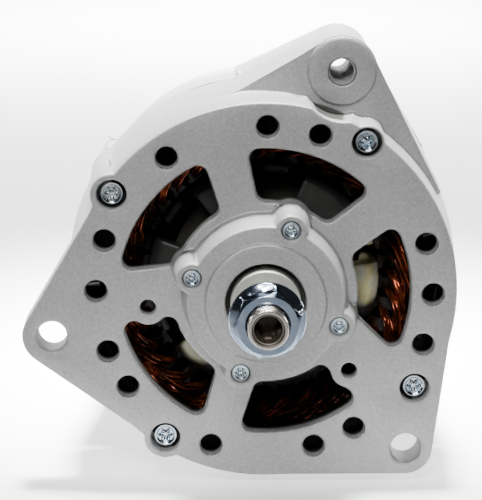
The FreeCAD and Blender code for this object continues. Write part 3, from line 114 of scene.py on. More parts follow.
def clean_mesh(mesh, sharp):
    """Merge doubled points, turn all faces outwards and keep only corners steeper than `sharp` crisp."""
    work = bmesh.new()
    work.from_mesh(mesh)
    bmesh.ops.remove_doubles(work, verts=work.verts, dist=doubles_within * MM)
    bmesh.ops.recalc_face_normals(work, faces=work.faces)
    work.to_mesh(mesh)
    work.free()
    mesh.shade_smooth()
    mesh.set_sharp_from_angle(angle=np.radians(sharp))


def make_piece(name, shape, body, replaces=(), sharp=35):
    """A finished object from points in millimetres and faces, which rides on a CAD body."""
    points, faces = shape
    mesh = bpy.data.meshes.new(name)
    mesh.from_pydata(points * MM, [], faces.tolist())
    clean_mesh(mesh, sharp)
    piece = bpy.data.objects.new(name, mesh)
    bpy.context.scene.collection.objects.link(piece)
    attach(piece, body)
    if replaces:
        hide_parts(*replaces)
    print("%-24s %6d faces" % (name, len(mesh.polygons)))
    return piece


print("a closed grid of three rows and four columns has", len(grid_faces(3, 4)), "faces")

# %% [markdown]
# Most pieces of a machine like this are turned or nearly so: screws, nuts, studs and bushes are stacks
# of rings about an axis. A ring need not be round. With its radius given for every angle, the same
# stack also makes a hexagon, or the six-lobed recess of a screw. Corners of a real turned piece are
# never knife sharp, so a profile gets a small arc at each corner before it is turned.

# %% Rounded profiles and stacks of rings
def rounded(corners, radius, steps=4):
    """Profile with each inner corner replaced by an arc that touches both of its sides."""
    path = [np.asarray(corners[0], float)[None]]
    for before, here, after in zip(corners, corners[1:], corners[2:]):
        before, here, after = (np.asarray(p, float) for p in (before, here, after))
        a, b = before - here, after - here
        la, lb = np.linalg.norm(a), np.linalg.norm(b)
        a, b = a / la, b / lb
        half = np.arccos(np.clip(a @ b, -1, 1)) / 2
        reach = min(radius / np.tan(half), 0.45 * la, 0.45 * lb)
        t = np.linspace(0, 1, steps)[:, None]
        start, end = here + a * reach, here + b * reach
        path.append((1 - t) ** 2 * start + 2 * t * (1 - t) * here + t ** 2 * end)
    path.append(np.asarray(corners[-1], float)[None])
    return np.concatenate(path)


def ring_stack(radii, depths, places=((0.0, 0.0),), count=64):
    """Rings about Y at each place: radii is (ring,) or (ring, angle), and a depth goes with each."""
    radii, depths = np.asarray(radii, float), np.asarray(depths, float)
    if radii.ndim == 1:
        radii = np.repeat(radii[:, None], count, 1)
    angle = ring_angles(radii.shape[1])
    depths = np.broadcast_to(depths[:, None], radii.shape)
    one = np.stack([radii * np.cos(angle), depths, radii * np.sin(angle)], -1)
    moves = np.array([(x, 0.0, z) for x, z in places])
    return many_grids(one[None] + moves[:, None, None, :])


def stack_rows(rows, places=((0.0, 0.0),), count=96):
    """Rings from (radius, depth) pairs; a radius is one number, or an array with one for each angle."""
    radii = np.array([np.broadcast_to(radius, count) for radius, depth in rows], float)
    return ring_stack(radii, [depth for radius, depth in rows], places)


def turned(corners, radius=0.3, places=((0.0, 0.0),), count=96):
    """A closed turned piece from (radius, depth) corners, rounded, at one or more places."""
    profile = rounded(corners, radius)
    return ring_stack(profile[:, 0], profile[:, 1], places, count)


def plain_ring(front, back, bore, outer, edge=0.35, places=((0.0, 0.0),), count=96):
    """Turned tube between two depths, from the middle of its bore round and back, with rounded edges."""
    middle = (bore, (front + back) / 2)
    return turned([middle, (bore, front), (outer, front), (outer, back), (bore, back), middle], edge,
                  places, count)


def hexagon_radius(angle, half_flat, first_corner=0.0, softness=0.02):
    """Distance from the middle of a hexagon to its edge: half its width over the cosine of the angle
    from the nearest flat's middle, with the corners a little blunted."""
    half_side = TURN / 12
    away = (angle - np.radians(first_corner)) % (TURN / 6) - half_side
    return half_flat / np.cos(away) * (1 - softness * (np.abs(away) / half_side) ** 12)


def lobed_radius(angle, outer, inner):
    """Outline of a lobed driver recess: a mean radius with a rounded wave of six periods on it."""
    wave = np.cos(6 * angle)
    return (outer + inner) / 2 + (outer - inner) / 2 * np.sign(wave) * np.abs(wave) ** 0.7


square = [(1, 0), (2, 0), (2, 1), (1, 1)]
print("a profile of four corners is rounded to", len(rounded(square, 0.2)), "points")


# %% [markdown]
# A copy of a CAD solid is fine wherever the solid already has the right form. Its corners are joined
# first, and a Bevel modifier then rounds every edge, which is what makes a casting or a stamping look
# made rather than drawn: the small round catches the light along every edge. The triangles stay as they
# are. Merged into whole faces, a plate with holes gives one face that folds over its own windows. But
# thin triangles shade badly when they are smoothed, so wide flat areas are found first and stay flat,
# and the few triangles that the rounding folds over in such an area are taken out again.

# %% Copies of CAD solids with rounded edges
def mark_flat_areas(work, least=6, off=0.003):
    """Give flat shading to each group of at least `least` joined faces whose corners all lie within
    `off` millimetres of one plane, and number it. Gives each area's outward direction by its number.
    The widest faces come first, because their planes are the surest."""
    number = work.faces.layers.int.new("flat_area")
    waiting = dict.fromkeys(sorted(work.faces, key=lambda face: -face.calc_area()))
    outward = [(0.0, 0.0, 0.0)]
    while waiting:
        seed = next(iter(waiting))
        del waiting[seed]
        group, growing = [], [seed]
        across, through = seed.normal.copy(), seed.verts[0].co.copy()

        def in_plane(face):
            return all(abs((v.co - through).dot(across)) < off * MM for v in face.verts)

        while growing:
            face = growing.pop()
            group.append(face)
            for other in {other for edge in face.edges for other in edge.link_faces}:
                if other in waiting and in_plane(other):
                    del waiting[other]
                    growing.append(other)
        wide = len(group) >= least
        for face in group:
            face.smooth = not wide
            face[number] = len(outward) if wide else 0
        if wide:
            outward.append(tuple(across))
    return np.array(outward)


def remove_folds(mesh, outward):
    """Delete the faces of a flat area that look the other way than the area does."""
    count = len(mesh.polygons)
    normals, area = np.empty(count * 3, np.float32), np.empty(count, np.int32)
    added = np.empty(count, np.int32)
    mesh.polygons.foreach_get("normal", normals)
    mesh.polygons.foreach_get("material_index", added)
    mesh.attributes["flat_area"].data.foreach_get("value", area)
    facing = np.einsum("ij,ij->i", normals.reshape(-1, 3), outward[area])
    work = bmesh.new()
    work.from_mesh(mesh)
    work.faces.ensure_lookup_table()
    folded = [work.faces[i] for i in np.flatnonzero((area > 0) & (added == 0) & (facing < -0.5))]
    bmesh.ops.delete(work, geom=folded, context="FACES")
    work.to_mesh(mesh)
    work.free()
    mesh.attributes.remove(mesh.attributes["flat_area"])
    return len(folded)


def softened(name, node, body, width=0.5, segments=2, steep=30, sharp=50, reshape=None):
    """Copy of a CAD node with its steep edges rounded. The strips that the rounding adds are told
    apart by a material number of their own, and are shaded smooth. `reshape` moves the corners first."""
    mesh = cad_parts[node].data.copy()
    if reshape:
        corners = np.empty(len(mesh.vertices) * 3, np.float32)
        mesh.vertices.foreach_get("co", corners)
        moved = reshape(corners.reshape(-1, 3) / MM) * MM
        mesh.vertices.foreach_set("co", moved.astype(np.float32).ravel())
        mesh.update()
    mesh.materials.clear()
    mesh.materials.append(None)
    mesh.materials.append(None)
    work = bmesh.new()
    work.from_mesh(mesh)
    bmesh.ops.remove_doubles(work, verts=work.verts, dist=0.002 * MM)
    areas = mark_flat_areas(work)
    work.to_mesh(mesh)
    work.free()
    piece = bpy.data.objects.new(name, mesh)
    bpy.context.scene.collection.objects.link(piece)
    bevel = piece.modifiers.new("rounding", "BEVEL")
    bevel.width, bevel.segments, bevel.material = width * MM, segments, 1
    bevel.limit_method, bevel.angle_limit = "ANGLE", np.radians(steep)
    bevel.use_clamp_overlap, bevel.loop_slide = False, False
    shaped = piece.evaluated_get(bpy.context.evaluated_depsgraph_get())
    piece.data = bpy.data.meshes.new_from_object(shaped)
    piece.data.name = name
    piece.modifiers.clear()
    folded = remove_folds(piece.data, areas)
    for face in piece.data.polygons:
        face.use_smooth = face.use_smooth or face.material_index == 1
        face.material_index = 0
    piece.data.set_sharp_from_angle(angle=np.radians(sharp))
    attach(piece, body)
    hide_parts(node)
    print("%-24s %6d faces, %d flat areas, %d folds"
          % (name, len(piece.data.polygons), len(areas) - 1, folded))
    return piece


# %% [markdown]
# Materials are node trees, and a tree of arithmetic is hard to read as boxes and wires. So one small
# class stands for the output of a node: adding or multiplying two of them adds the Math node. Any other
# node comes from one method, which takes the node's type, its settings and what goes into its sockets.

# %% A short way to write shader nodes
class Signal:
    """The output of a shader node, on which +, - and * add Math nodes."""

    def __init__(self, finish, socket):
        self.finish, self.socket = finish, socket

    def math(self, operation, *values):
        return self.finish.node("Math", dict(enumerate(values)), operation=operation)

    def __add__(self, other):
        return self.math("ADD", self, other)

    def __radd__(self, other):
        return self.math("ADD", other, self)

    def __sub__(self, other):
        return self.math("SUBTRACT", self, other)

    def __rsub__(self, other):
        return self.math("SUBTRACT", other, self)

    def __mul__(self, other):
        return self.math("MULTIPLY", self, other)

    def __rmul__(self, other):
        return self.math("MULTIPLY", other, self)

    def wave(self, pitch):
        """Sine wave with one period for each `pitch` of this value."""
        return self.math("SINE", self * (TURN / pitch))

    def step(self, low, high):
        """0 below low, 1 above high and a smooth slope between."""
        return self.finish.node("MapRange", {"Value": self, "From Min": low, "From Max": high},
                                interpolation_type="SMOOTHSTEP")


class Finish:
    """A material in the making: a Principled shader whose sockets take numbers, colours or signals."""

    def __init__(self, name, **sockets):
        self.material = bpy.data.materials.new(name)
        self.material.use_nodes = True
        self.tree = self.material.node_tree
        self.shader = self.tree.nodes["Principled BSDF"]
        for socket, value in sockets.items():
            self.set(socket.replace("_", " "), value)

    def feed(self, socket, value):
        if isinstance(value, Signal):
            self.tree.links.new(value.socket, socket)
        elif isinstance(value, tuple) and len(value) == 3 and socket.type == "RGBA":
            socket.default_value = (*value, 1.0)
        else:
            socket.default_value = value

    def node(self, kind, inputs=(), output=0, **settings):
        """Any node: its settings first, then its sockets by name or number; gives one output."""
        made = self.tree.nodes.new("ShaderNode" + kind)
        for key, value in settings.items():
            setattr(made, key, value)
        for key, value in dict(inputs).items():
            self.feed(made.inputs[key], value)
        return Signal(self, made.outputs[output])

    def set(self, socket, value):
        self.feed(self.shader.inputs[socket], value)

    def place(self):
        """Object coordinates in millimetres, as one vector."""
        here = self.node("TexCoord", output="Object")
        return self.node("VectorMath", {0: here, 3: 1 / MM}, operation="SCALE")

    def axes(self):
        """X, Y and Z of the place as three numbers, in millimetres."""
        parts = self.node("SeparateXYZ", {0: self.place()})
        return [Signal(self, output) for output in parts.socket.node.outputs]

    def round_about(self, x, z):
        """Distance from an axis along Y at (x, z), in millimetres."""
        across, _, up = self.axes()
        dx, dz = across - x, up - z
        return self.node("Math", {0: dx * dx + dz * dz}, operation="SQRT")

    def noise(self, size, detail=2.0, roughness=0.5, vector=None, stretch=None):
        """Cloudy value from 0 to 1 whose patches are about `size` millimetres across."""
        where = vector or self.place()
        if stretch:
            where = self.node("VectorMath", {0: where, 1: stretch}, operation="MULTIPLY")
        return self.node("TexNoise", {"Vector": where, "Scale": 1 / size, "Detail": detail,
                                      "Roughness": roughness})

    def cells(self, size):
        """Distance to the nearest of many scattered points about `size` millimetres apart."""
        return self.node("TexVoronoi", {"Vector": self.place(), "Scale": 1 / size})

    def blend(self, factor, first, second):
        """Colour that goes from the first to the second as the factor goes from 0 to 1."""
        return self.node("Mix", {0: factor, 6: first, 7: second}, 2, data_type="RGBA")

    def relief(self, height, depth, after=None):
        """Bump whose height signal of 1 stands `depth` millimetres proud."""
        inputs = {"Height": height, "Distance": depth * MM, "Strength": 1.0}
        if after is not None:
            inputs["Normal"] = after
        return self.node("Bump", inputs)


def wear(piece, finish):
    """Give a piece a finish as its only material slot."""
    piece.data.materials.clear()
    piece.data.materials.append(finish.material)
    print("%-24s wears %s" % (piece.name, finish.material.name))


# %% [markdown]
# The castings are aluminium, blasted with fine shot after casting. That leaves an even silver-grey skin
# with a grain too small to see as dents but coarse enough to scatter the light, a little cloudiness, and
# shallow marks from handling. The inside is painted nearly black and less metallic: painted shade for the
# dark inside of the housing. Inside and outside are told apart by the distance from the axis: a wall's
# middle line is given for each casting as a radius that changes steadily along the axis.

# %% Blasted casting
def cast_finish(name, tone=1.0, wall=None):
    """Blasted aluminium: cloudy grey, fine grain in tone and relief, and small pits. `wall` is the wall's
    middle radius at a first and a second depth, and the depths between which the inside lies, painted
    nearly black as shade."""
    def shade(*colour):
        return tuple(tone * c for c in colour)

    cast = Finish(name, IOR=1.45)
    cloud = cast.noise(24, detail=3)
    speck = cast.noise(0.9, detail=3, roughness=0.7)
    grain = cast.noise(1.5, detail=4, roughness=0.7)
    stain = cast.noise(7, detail=5, roughness=0.62).step(0.60, 0.78)
    colour = cast.blend(cloud, shade(0.27, 0.27, 0.267), shade(0.32, 0.32, 0.317))
    colour = cast.blend(speck.step(0.40, 0.72) * 0.5, colour, shade(0.46, 0.46, 0.455))
    colour = cast.blend((1 - grain.step(0.28, 0.5)) * 0.4, colour, shade(0.17, 0.17, 0.17))
    colour = cast.blend(stain * 0.16, colour, (0.24, 0.235, 0.225))
    metal = 0.55
    if wall:
        first_r, first_y, last_r, last_y, low, high = wall
        along = cast.axes()[1]
        middle = first_r + (along - first_y) * ((last_r - first_r) / (last_y - first_y))
        # Painted shade: inside the wall, between the given depths, the colour goes nearly black and less
        # metallic.
        deep = (1 - (cast.round_about(0, 0) - middle).step(-0.6, 0.6))
        deep = deep * (along - low).step(0, 2.0) * (1 - (along - high).step(-1.0, 1.0))
        colour = cast.blend(deep, colour, cast.blend(grain, (0.018, 0.017, 0.016), (0.035, 0.033, 0.03)))
        metal = 0.55 - 0.45 * deep
    cast.set("Metallic", metal)
    cast.set("Base Color", colour)
    cast.set("Roughness", 0.48 + 0.10 * cloud + 0.08 * grain)
    pit = 1 - cast.cells(3.4).step(0.03, 0.11)
    fine = cast.relief(grain * 0.6 + speck * 0.4, 0.22)
    cast.set("Normal", cast.relief(1 - pit, 0.10, after=fine))
    return cast


front_painted_shade_wall = (77.6, 56, 79.2, 107, 59.0, 200)
rear_painted_shade_wall = (79.0, 107, 73.4, 172, 0, 175.5)
front_cast = cast_finish("blasted_front_casting", 1.0, front_painted_shade_wall)
rear_cast = cast_finish("blasted_rear_casting", 0.97, rear_painted_shade_wall)
print("insides begin within", front_painted_shade_wall[0], "and", rear_painted_shade_wall[0], "mm of the axis")

# %% [markdown]
# The front casting is the face of the machine: plate with five windows, a ring of round vents, the hub
# with its four lobes, two ears and the upper lug. The CAD solid has all of that, so the piece shown is a
# copy of it with rounded edges, and the rear casting is treated the same way. But in the picture the lug
# runs straighter back, and the rear casting narrows more, than in the solids. So the corners of both
# copies are moved first, all at once, by a formula on the array of their places.

# %% Straighter lug
lug_x, lug_z, lug_r = 31.8, 88.3, 14.2
lug_start, lug_long = 75.0, 46.0
cad_widens, seen_narrows = 1.2, 0.6
shell_start_r, shell_end_r, shell_long = 80.3, 82.5, 28.0
web_angle, foot_angle = 98.0, 96.9


def slimmer_lug(corners):
    """The lug's walls run nearly straight back in the picture, so behind its front each section is
    scaled about the bore by (14.2 - 0.6 t) / (14.2 + 1.2 t), with t from 0 to 1 along the lug. And its
    web starts nearer to the top: the web's left corners move round the axis to 98 degrees and down to
    the shell, and the line where its front meets the shell is pressed together to follow them."""
    depth, radius = corners[:, 1], np.hypot(corners[:, 0], corners[:, 2])
    degrees = np.degrees(np.arctan2(corners[:, 2], corners[:, 0]))
    along = np.clip((depth - lug_start) / lug_long, 0, 1)
    factor = (lug_r - seen_narrows * along) / (lug_r + cad_widens * along)
    outside = np.clip((radius - 84.1) / 5, 0, 1) * (corners[:, 2] > 60)
    factor = 1 + (factor - 1) * outside
    moved = corners.copy()
    moved[:, 0] = lug_x + (corners[:, 0] - lug_x) * factor
    moved[:, 2] = lug_z + (corners[:, 2] - lug_z) * factor
    slope = (shell_end_r - shell_start_r) / shell_long
    shell = np.minimum(shell_start_r + (depth - lug_start) * slope, shell_end_r)
    root = (degrees > web_angle) & (degrees < 115) & (depth > lug_start - 0.1) & (radius > shell + 0.3)
    foot = (degrees > 97) & (degrees < 114) & (np.abs(depth - lug_start) < 0.05)
    foot &= np.abs(radius - shell_start_r) < 0.06
    lower = np.where(depth < 106, shell + 0.05, 83.0)
    pressed = foot_angle + (degrees - foot_angle) * 0.07
    for which, (x, z) in ((root, on_ring(lower, web_angle)), (foot, on_ring(radius, pressed))):
        moved[which, 0], moved[which, 2] = x[which], z[which]
    return moved


# %% Steeper rear cone and both castings
cone_start, cone_long, on_wall = 107.0, 65.0, 0.08
outer_r, outer_falls, outer_falls_more = 82.0, 3.5, 4.3
inner_r, inner_falls, inner_falls_more = 76.0, 1.5, 1.8


def slimmer_cone(corners):
    """The rear casting narrows to 74.2 instead of 78.5 towards its back wall, and inside to 72.7
    instead of 74.5: the radius falls by 4.3 t outside and by 1.8 t inside, t from 0 to 1."""
    radius = np.hypot(corners[:, 0], corners[:, 2])
    along = (corners[:, 1] - cone_start) / cone_long
    behind = (along > 0) & (along < 1.001)
    outside = (np.abs(radius - (outer_r - outer_falls * along)) < on_wall) & behind
    inside = (np.abs(radius - (inner_r - inner_falls * along)) < on_wall) & behind
    factor = 1 - (outer_falls_more * outside + inner_falls_more * inside) * along / radius.clip(1)
    return corners * np.stack([factor, np.ones_like(factor), factor], -1)


front_casting = softened("front_casting", "drive_end_shield", "housing", width=0.8, segments=3,
                         reshape=slimmer_lug)
rear_casting = softened("rear_casting", "slip_ring_end_shield", "housing", width=0.8,
                        reshape=slimmer_cone)
wear(front_casting, front_cast)
wear(rear_casting, rear_cast)

# %% [markdown]
# Screws, nuts and washers are steel with a thin bright zinc plating. It is smooth and takes on a faint
# blue and straw tint from its passivation, uneven from place to place.

# %% Zinc, turned steel and other metals
usual_rough = 0.13


def zinc_finish(name, tone=(0.60, 0.65, 0.70), rings=False, rough=usual_rough):
    """Bright plating with a patchy blue and straw tint; `rings` adds a face turned about the axis."""
    plating = Finish(name, Metallic=1.0)
    tint = plating.noise(6, detail=2)
    bluer = tuple(c * k for c, k in zip(tone, (0.77, 0.85, 0.94)))
    blue = plating.blend(tint.step(0.3, 0.7), tone, bluer)
    elsewhere = plating.node("VectorMath", {0: plating.place(), 1: (31.0, 17.0, 5.0)}, operation="ADD")
    straw = plating.noise(9, detail=1, vector=elsewhere).step(0.52, 0.75) * 0.4
    plating.set("Base Color", plating.blend(straw, blue, (0.72, 0.74, 0.66)))
    scratch = plating.noise(0.8, detail=4, stretch=(1.0, 0.15, 1.0))
    plating.set("Roughness", rough + 0.2 * scratch * tint * (rough / usual_rough))
    height = scratch + 0.12 * plating.round_about(0, 0).wave(0.8) if rings else scratch
    plating.set("Normal", plating.relief(height, 0.09 * rough))
    return plating


def turned_steel(name, tone=(0.60, 0.585, 0.56), pitch=0.22, rough=0.3):
    """Steel from the lathe: fine rings along the axis and over the end faces, and a cloudy oil film."""
    steel = Finish(name, Metallic=1.0)
    rings = (steel.round_about(0, 0) + steel.axes()[1]).wave(pitch)
    film = steel.noise(5, detail=3)
    steel.set("Base Color", steel.blend(film, tone, tuple(c * 0.72 for c in tone)))
    steel.set("Roughness", rough + 0.14 * film)
    steel.set("Normal", steel.relief(rings, 0.006))
    return steel


zinc = zinc_finish("bright_zinc")
nut_zinc = zinc_finish("nut_zinc", (0.33, 0.39, 0.48), rings=True, rough=0.06)
screw_zinc = zinc_finish("screw_zinc", (0.56, 0.61, 0.64), rough=0.08)
shaft_steel = turned_steel("turned_shaft_steel")
collar_steel = turned_steel("ground_collar_steel", (0.62, 0.63, 0.58), pitch=0.35, rough=0.42)
print("metals:", *[m.material.name for m in (zinc, nut_zinc, screw_zinc, shaft_steel, collar_steel)])

# %% [markdown]
# The shaft's end is an M16 thread with a round socket in it, into which a key goes to hold the rotor
# still while the nut is turned. A thread is a surface of two parameters: round the shaft and along it.
# Its radius follows a triangle wave whose phase moves by one pitch per turn, and that makes the helix.

# %% A thread as a surface
def thread_wave(angle, depth, pitch):
    """How deep the thread is cut, 0 at the crest to 1 at the root, with a flat at both."""
    phase = (depth / pitch - angle / TURN) % 1.0
    return np.clip(np.abs(phase - 0.5) * 2.6 - 0.3, 0, 1)


def threaded_rod(radius, pitch, start, end, places, count=72):
    """Rod whose radius is the crest less the thread's depth times its wave, bevelled at its free end.
    The first and last rows are the end faces' middles, so the rod is closed; start is the free end."""
    bevel, fades_within = 0.5, 0.4
    depth = np.linspace(start, end, int(abs(end - start) / pitch * 10) + 1)
    away = np.abs(depth - start)[:, None]
    wave = thread_wave(ring_angles(count)[None], depth[:, None] * np.sign(end - start), pitch)
    fade = np.clip(away / fades_within, 0, 1)
    outer = radius - 0.6 * pitch * wave * fade - np.clip(bevel - away, 0, None)
    middle = np.zeros((1, count))
    depths = np.concatenate([[start], depth, [end]])
    return ring_stack(np.concatenate([middle, outer, middle]), depths, places)


print("cut at 0 and at 180 degrees of a turn:", *thread_wave(np.array([0, TURN / 2]), 0.0, 1.5))

# %% [markdown]
# One stack of rings makes the whole shaft: the socket from its floor outwards, the bevelled mouth, the
# thread, the bright seat of the pulley and the plainer lengths inside the machine. Only the lowest part
# of the socket has lobes, cut into the round bore by a splined key.

# %% Shaft
shaft_back = lowest_and_highest("rotor_shaft")[1][1]
nose_r, thread_r, seat_r, socket_r, shaft_pitch = 7.9, 8.0, 8.5, 5.5, 1.5
count = 144
angle = ring_angles(count)
lobed = lobed_radius(angle, 5.3, 4.3)
thread_depth = np.linspace(0.35, 16.6, 150)
thread_cut = 0.85 * thread_wave(angle[None], thread_depth[:, None], shaft_pitch)
thread_cut *= np.clip((thread_depth[:, None] - 0.4) / 0.5, 0, 1)
rows = [(0, 11.8), (lobed * 0.75, 11.8), (lobed, 10.6), (lobed, 7.2), (lobed + 0.15, 6.9),
        (socket_r - 0.15, 6.6), (socket_r, 6.3), (socket_r, 1.05), (socket_r + 0.12, 0.92),
        (6.42, 0.06), (6.55, 0.0), (7.55, 0.0), (7.75, 0.1)]
rows += [(nose_r - cut, depth) for cut, depth in zip(thread_cut, thread_depth)]
behind_thread = [(thread_r - 0.8, 16.8), (seat_r, 16.8), (seat_r, 78.0), (9.0, 78.0), (9.0, 140.0),
                 (8.0, 140.0), (8.0, 171.0), (7.5, 171.0), (7.5, shaft_back), (0.0, shaft_back)]
rows += list(rounded(behind_thread, 0.35))
shaft = make_piece("shaft", stack_rows(rows, count=count), "rotor", ["rotor_shaft"])


# %% [markdown]
# The nose is bright on its thread, where the nut has rubbed it clean, and dark brown from hardening and
# oil inside the socket and on its bevel. So its colour follows the distance from the axis, but only over
# the socket's depth, and a thin worn line runs round the socket's mouth.

# %% Steel of the shaft
nose_steel = Finish("nose_steel")
along, from_axis = nose_steel.axes()[1], nose_steel.round_about(0, 0)
oiled = (1 - from_axis.step(6.5, 6.65)) * (1 - along.step(12.0, 13.0))
rubbed = from_axis.step(5.5, 5.6) * (1 - from_axis.step(5.72, 5.85)) * (1 - along.step(0.8, 1.0))
dirt = nose_steel.noise(2.2, detail=4)
bright = nose_steel.blend(dirt, (0.66, 0.63, 0.59), (0.50, 0.46, 0.42))
dark = nose_steel.blend(dirt, (0.030, 0.024, 0.018), (0.11, 0.085, 0.06))
nose_steel.set("Base Color", nose_steel.blend(oiled * (1 - 0.8 * rubbed), bright, dark))
nose_steel.set("Metallic", 1.0 - 0.5 * oiled)
nose_steel.set("Roughness", 0.2 + 0.12 * dirt + 0.16 * oiled)
nose_steel.set("Normal", nose_steel.relief((from_axis + along).wave(0.22), 0.006))
wear(shaft, nose_steel)

# %% [markdown]
# The nut is a hexagon with a round flange. Its top is turned to a cone, and where that cone meets the
# six flats it leaves the curved bright corners that show so well from the front. In the grid, each
# point's radius is the smaller of the hexagon's and the cone's, which gives those curves by itself. A
# smooth minimum of the two leaves the little round that a real edge has.

# %% Pulley nut
def flanged_nut(front, height, half_flat, flange_r, flange, bore, corner_turn, cone_r, count=240):
    """Rings from the bore over the front face, down the smaller of hexagon and cone, over the flange.
    The cone starts at `cone_r` and opens by 1.73 millimetres for each one of depth."""
    soft = 0.06
    hexagon = hexagon_radius(ring_angles(count), half_flat, corner_turn, 0.012)
    depth = np.concatenate([np.linspace(0, 2.2, 18), np.linspace(2.5, height - flange - 1.4, 5)])
    slope = cone_r + depth[:, None] * 1.73
    sides = -soft * np.logaddexp(-slope / soft, -hexagon[None] / soft)
    back, foot = front + height, front + height - flange - 1.2
    rows = [(bore, back), (bore, front + 1.0), (bore + 0.75, front + 0.12), (bore + 0.9, front),
            (cone_r - 0.25, front), *zip(sides, front + depth), (hexagon + 0.05, foot + 0.1),
            (np.maximum(hexagon + 0.5, half_flat + 0.9), foot + 0.45), (flange_r - 0.9, foot + 1.15),
            (flange_r - 0.25, foot + 1.45), (flange_r, foot + 1.8), (flange_r, back - 0.4),
            (flange_r - 0.4, back), (bore, back)]
    return stack_rows(rows, count=count)


nut = make_piece("flange_nut", flanged_nut(
    front=6.0, height=10.0, half_flat=12.0, flange_r=15.2, flange=2.2, bore=8.03, corner_turn=15.5,
    cone_r=11.75), "rotor", ["pulley_nut"], sharp=28)
wear(nut, nut_zinc)

# %% [markdown]
# The collar behind the nut is a plain ground bush. The pulley's hub presses on its front face, which is
# why that face is smooth, with a small bevel round its edge.

# %% Collar and distance bush
slides_on = seat_r + 0.05
collar = make_piece("ground_collar", plain_ring(35.55, 45, slides_on, outer=14.2, edge=0.45), "rotor",
                    ["thrust_collar"])
bush = make_piece("distance_bush", plain_ring(59.02, 77.98, slides_on, outer=12.5, edge=0.4), "rotor",
                  ["rotor_spacer"])
wear(collar, collar_steel)
wear(bush, shaft_steel)

# %% [markdown]
# Four long screws hold the castings together and four short ones hold the plate behind the bearing. Both
# kinds have a round head with a six-lobed recess, and sit in a counterbore a little wider than the head.
# The long ones are dished inside a narrow rim, which is why their lower half catches the light. The
# head is one stack of rings: domed floor of the recess, its lobed wall, dish, rim, edge and side.

# %% Lobed screws
def lobed_screw(head_r, head, seat, shank_r, end, places, recess, deep, rim, dish, count=96):
    """Rings from the recess's floor outwards over the head and down the shank. The dish falls from
    `rim` to the recess, and the head's edge is a quarter of a circle."""
    hole = lobed_radius(ring_angles(count), recess, recess * 0.72)
    top, edge_r, edge_from = seat - head, head_r * 0.07, head_r * 0.93
    dome, bend = np.linspace(0, 0.9, 6), np.linspace(0, np.pi / 2, 6)
    rows = [(hole * d, top + (deep - 0.8 * (1 - (d / 0.9) ** 2))) for d in dome]
    rows += [(hole, top + (deep - 0.2)), (hole, top + (dish + 0.12)), (hole + 0.08, top + dish),
             (recess + 0.12, top + dish * 0.97), (rim - 0.08, top + 0.08), (rim + 0.06, top),
             (edge_from, top)]
    rows += [(edge_from + edge_r * np.sin(b), top + edge_r * (1 - np.cos(b))) for b in bend]
    rows += [(head_r, seat - 0.1), (head_r - 0.1, seat), (shank_r, seat), (shank_r, end), (0, end)]
    return stack_rows(rows, places, count)


long_circle_r, first_long, short_circle_r, first_short = 74.5, 56.5, 31.3, 71.2
long_places = [on_ring(long_circle_r, first_long + 90 * i) for i in range(4)]
short_places = [on_ring(short_circle_r, first_short + 90 * i) for i in range(4)]
long_screws = make_piece("long_screws", lobed_screw(
    head_r=4.65, head=4.4, seat=64, shank_r=2.5, end=146, places=long_places, recess=3.05, deep=2.7,
    rim=3.95, dish=0.75), "housing", ["housing_screws"])
short_screws = make_piece("plate_screws", lobed_screw(
    head_r=3.55, head=3.4, seat=45, shank_r=2.0, end=62, places=short_places, recess=2.25, deep=1.5,
    rim=2.6, dish=0.2), "housing", ["retainer_screws"])
wear(long_screws, screw_zinc)
wear(short_screws, screw_zinc)

# %% [markdown]
# Wire is a round tube along a path. All wires of a winding have the same number of steps, so one array
# holds every path, and a circle is laid across each step of each path at once.

# %% Tubes along many paths
def tubes(paths, outward, radius, sides=6):
    """Closed round tubes: at each step, a circle in the plane across the path, laid out between the
    outward direction and the one at right angles to it. Paths are (tube, step, xyz)."""
    along = np.gradient(paths, axis=1)
    along /= np.linalg.norm(along, axis=-1, keepdims=True)
    aside = np.cross(along, outward)
    aside /= np.linalg.norm(aside, axis=-1, keepdims=True)
    out = np.cross(aside, along)
    turn = ring_angles(sides)
    circle = (out[:, :, None] * np.cos(turn)[:, None] + aside[:, :, None] * np.sin(turn)[:, None]) * radius
    rings = paths[:, :, None] + circle
    first = np.repeat(paths[:, :1, None], sides, 2)
    last = np.repeat(paths[:, -1:, None], sides, 2)
    return many_grids(np.concatenate([first, rings, last], 1))

print("a wire of two steps and six sides has", len(tubes(
    np.array([[(0.0, 0, 0), (0, 1, 0)]]), np.array([[(1.0, 0, 0), (1, 0, 0)]]), 0.5)[1]), "faces")

# %% [markdown]
# The stator winding is lap wound from enamelled copper wire: 36 coils, one starting in each slot, and
# each ends three slots further on. So every coil's head is a bundle of wires that leaves the core near
# its outside, leans over, and goes back in nearer the axis. Seen from the front they run round the
# machine and cross each other a little. One formula lays every wire of a head: with s from 0 to 1 along
# the wire, the angle moves on smoothly with s, the radius comes in late, so that the head's front leans
# outwards, and the depth follows a half sine raised to a power under one, which makes a flat-topped arch.
# Each wire also wanders by two slow waves of its own, because a machine lays them loosely before the
# heads are tied and dipped.

# %% Winding heads
coils, layers, columns = 36, 6, 2
coil_step, coil_span = 10, 30


